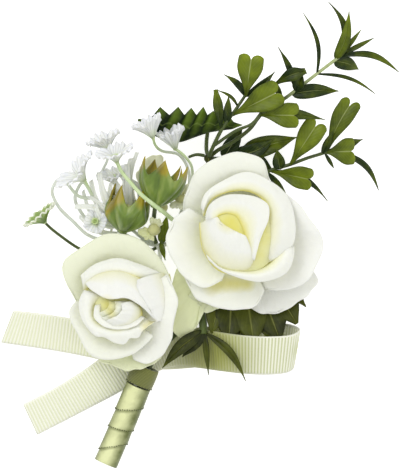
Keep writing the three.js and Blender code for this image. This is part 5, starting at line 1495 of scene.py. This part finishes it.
class BOUTONNIERE_OT_stage(bpy.types.Operator):
    """Makes the camera, the pale floor and the soft lights."""

    bl_idname = "boutonniere.stage"
    bl_label = "Stage"

    def execute(self, context):
        sizes, lights = context.scene.boutonniere_sizes, context.scene.boutonniere_lights
        camera = placed("camera", bpy.data.cameras.new("camera"))
        camera.data.sensor_width = FILM_WIDTH
        camera.data.lens = FILM_WIDTH * sizes.camera_height / sizes.view_length
        camera.data.clip_end = 20.0
        camera.location = (0.0, 0.0, sizes.camera_height)
        context.scene.camera = camera

        mesh = bpy.data.meshes.new("floor")
        corners = [(x * FLOOR_REACH, y * FLOOR_REACH, 0) for x, y in ((-1, -1), (1, -1), (1, 1), (-1, 1))]
        mesh.from_pydata(corners, [], [(0, 1, 2, 3)])
        floor = placed("floor", mesh)
        floor.location.z = -FLOOR_DROP
        floor.visible_diffuse = False
        paper = Shading("floor paper", roughness=0.9, specular=0.1)
        pale = tuple(lights.floor)
        paper.color(paper.mix(paper.noise(40), pale, tuple(c * 0.99 for c in pale)))
        paper.sockets["Emission Color"].default_value = (1.0, 1.0, 1.0, 1.0)
        paper.sockets["Emission Strength"].default_value = FLOOR_GLOW
        mesh.materials.append(paper.material)

        for name, power, size, place in (
            ("key light", lights.key, 0.5, (-0.35, 0.45, 0.8)),
            ("fill light", lights.key * 0.6, 0.8, (0.6, -0.3, 0.7)),
        ):
            light = placed(name, bpy.data.lights.new(name, "AREA"))
            light.data.energy, light.data.size = power, size
            light.location = place
            light.rotation_euler = (-Vector(place)).to_track_quat("-Z", "Y").to_euler()
        world = bpy.data.worlds.new("studio")
        world.use_nodes = True
        sky = world.node_tree.nodes["Background"].inputs
        sky["Color"].default_value = (1, 1, 1, 1)
        sky["Strength"].default_value = lights.sky
        context.scene.world = world
        context.scene.view_settings.view_transform = "Standard"
        return {"FINISHED"}


class BOUTONNIERE_OT_ribbon(bpy.types.Operator):
    """Makes the ribbon with its tails and loop."""

    bl_idname = "boutonniere.ribbon"
    bl_label = "Ribbon"

    def execute(self, context):
        sizes = context.scene.boutonniere_sizes
        ribbon_piece(sizes.ribbon_width, sizes.rib_pitch, tuple(context.scene.boutonniere_colors.ribbon))
        return {"FINISHED"}


class BOUTONNIERE_OT_handle(bpy.types.Operator):
    """Makes the wound handle and the tie at its neck."""

    bl_idname = "boutonniere.handle"
    bl_label = "Handle"

    def execute(self, context):
        wrap_piece()
        tie_piece()
        return {"FINISHED"}


class BOUTONNIERE_OT_roses(bpy.types.Operator):
    """Makes both roses and their calyxes."""

    bl_idname = "boutonniere.roses"
    bl_label = "Roses"

    def execute(self, context):
        bloom_piece("rose_large_bloom", LARGE_ROSE, FINISH["ivory"])
        bloom_piece("rose_small_bloom", SMALL_ROSE, FINISH["ivory"])
        climb = [(170, 340, 4.8), (190, 320, 4.2), (213, 282, 3.4), (232, 247, 3.2), (240, 237, 4)]
        calyx_piece("rose_large_calyx", LARGE_ROSE, 5, LARGE_SEPALS, 3, climb)
        climb = [(151, 348, 5.2), (138, 333, 4.4), (125, 317, 3.6), (118, 309, 3.8)]
        calyx_piece("rose_small_calyx", SMALL_ROSE, 4, SMALL_SEPALS, 2, climb)
        return {"FINISHED"}


class BOUTONNIERE_OT_greenery(bpy.types.Operator):
    """Makes the main stem, the leafy sprays and the single leaves."""

    bl_idname = "boutonniere.greenery"
    bl_label = "Greenery"

    def execute(self, context):
        climb = [(172, 335, 6.6), (183, 305, 6.2), (190, 262, 5.4), (198, 215, 5.6), (205, 180, 7.4), WHORL]
        stem = [long_stem(0, climb, 0.53)]
        foliage("greenery_stem", [], stem, "dark leaf", "dark stem", (WHORL, 1.2))
        for node, slot, spray, finish, stem in (
            ("spray_long", "leaf_bright", LONG_SPRAY, "spray leaf", "long stem"),
            ("spray_middle", "leaf_bright", MIDDLE_SPRAY, "spray leaf", "dark stem"),
            ("spray_low", "leaf_bright", LOW_SPRAY, "spray leaf", "dark stem"),
            ("broad_leaves", "leaf_dark", BROAD_LEAVES, "spray leaf", "dark stem"),
            ("neck_sepals", "leaf_dark", NECK_SEPALS, "dark leaf", "dark stem"),
        ):
            foliage(node, spray["leaves"], [line(points, *size) for size, points in spray["stems"]],
                    finish, stem)
        toothed_leaf_piece()
        return {"FINISHED"}


class BOUTONNIERE_OT_florets(bpy.types.Operator):
    """Makes the white florets and the branching stem that carries them."""

    bl_idname = "boutonniere.florets"
    bl_label = "Florets"

    def execute(self, context):
        stems = [long_stem(1, [(160, 336, 6.8), (163, 316, 6.2), (162, 285, 5.6), HUB], 0.55)]
        for k, route in enumerate(FLORET_ROUTES):
            thickness = (0.45, 0.62, 70) if k == THICK_ROUTE else (0.36, 0.42, len(route) * 8)
            stems.append(line(route, *thickness))
        stems += [line(curl, 0.44, 0.44, len(curl) * 8) for curl in CURLS]
        green_stem = stems_piece([stems.pop(GREEN_ROUTE + 1)], FINISH["dark stem"])
        piece = foliage("floret_stems", strips(), stems, "strip", "pale stem", (HUB, 0.9))
        joined_with(piece, green_stem.data)
        bpy.data.objects.remove(green_stem)
        for k, head in enumerate(FLORETS):
            floret_piece(k + 1, **head)
        return {"FINISHED"}


class BOUTONNIERE_OT_buds(bpy.types.Operator):
    """Makes the green bud cups and the small cream blooms."""

    bl_idname = "boutonniere.buds"
    bl_label = "Buds"

    def execute(self, context):
        for node, cup in CUPS.items():
            cup_piece(node, **cup)
        for node, bloom in CREAM_BLOOMS.items():
            bloom_piece(node, bloom, FINISH["cream"])
        stalk = [line([(163, 243, 8), (162, 238, 8.4), (160, 233, 9)], 0.5)]
        foliage("low_bud_sepals", LOW_BUD_SEPALS, stalk, "spray leaf", "dark stem")
        return {"FINISHED"}


OPERATORS = (
    BOUTONNIERE_OT_stage,
    BOUTONNIERE_OT_ribbon,
    BOUTONNIERE_OT_handle,
    BOUTONNIERE_OT_roses,
    BOUTONNIERE_OT_greenery,
    BOUTONNIERE_OT_florets,
    BOUTONNIERE_OT_buds,
)


class BOUTONNIERE_PT_panel(bpy.types.Panel):
    """Lists the settings and the steps that build the boutonniere."""

    bl_idname = "BOUTONNIERE_PT_panel"
    bl_label = "Boutonniere"
    bl_space_type = "VIEW_3D"
    bl_region_type = "UI"
    bl_category = "Boutonniere"

    def draw(self, context):
        scene = context.scene
        for group in (scene.boutonniere_sizes, scene.boutonniere_colors, scene.boutonniere_lights):
            box = self.layout.box()
            for name in group.bl_rna.properties.keys():
                if name not in ("rna_type", "name"):
                    box.prop(group, name)
        for operator in OPERATORS:
            self.layout.operator(operator.bl_idname)


CLASSES = (BoutonniereSizes, BoutonniereLights, BoutonniereColors, *OPERATORS, BOUTONNIERE_PT_panel)


def register():
    for each in CLASSES:
        bpy.utils.register_class(each)
    bpy.types.Scene.boutonniere_sizes = bpy.props.PointerProperty(type=BoutonniereSizes)
    bpy.types.Scene.boutonniere_lights = bpy.props.PointerProperty(type=BoutonniereLights)
    bpy.types.Scene.boutonniere_colors = bpy.props.PointerProperty(type=BoutonniereColors)


def unregister():
    del bpy.types.Scene.boutonniere_colors
    del bpy.types.Scene.boutonniere_lights
    del bpy.types.Scene.boutonniere_sizes
    for each in reversed(CLASSES):
        bpy.utils.unregister_class(each)


def main():
    register()
    make_finishes(bpy.context.scene.boutonniere_colors)
    bpy.ops.boutonniere.stage()
    bpy.ops.boutonniere.ribbon()
    bpy.ops.boutonniere.handle()
    bpy.ops.boutonniere.roses()
    bpy.ops.boutonniere.greenery()
    bpy.ops.boutonniere.florets()
    bpy.ops.boutonniere.buds()


if __name__ == "__main__":
    main()
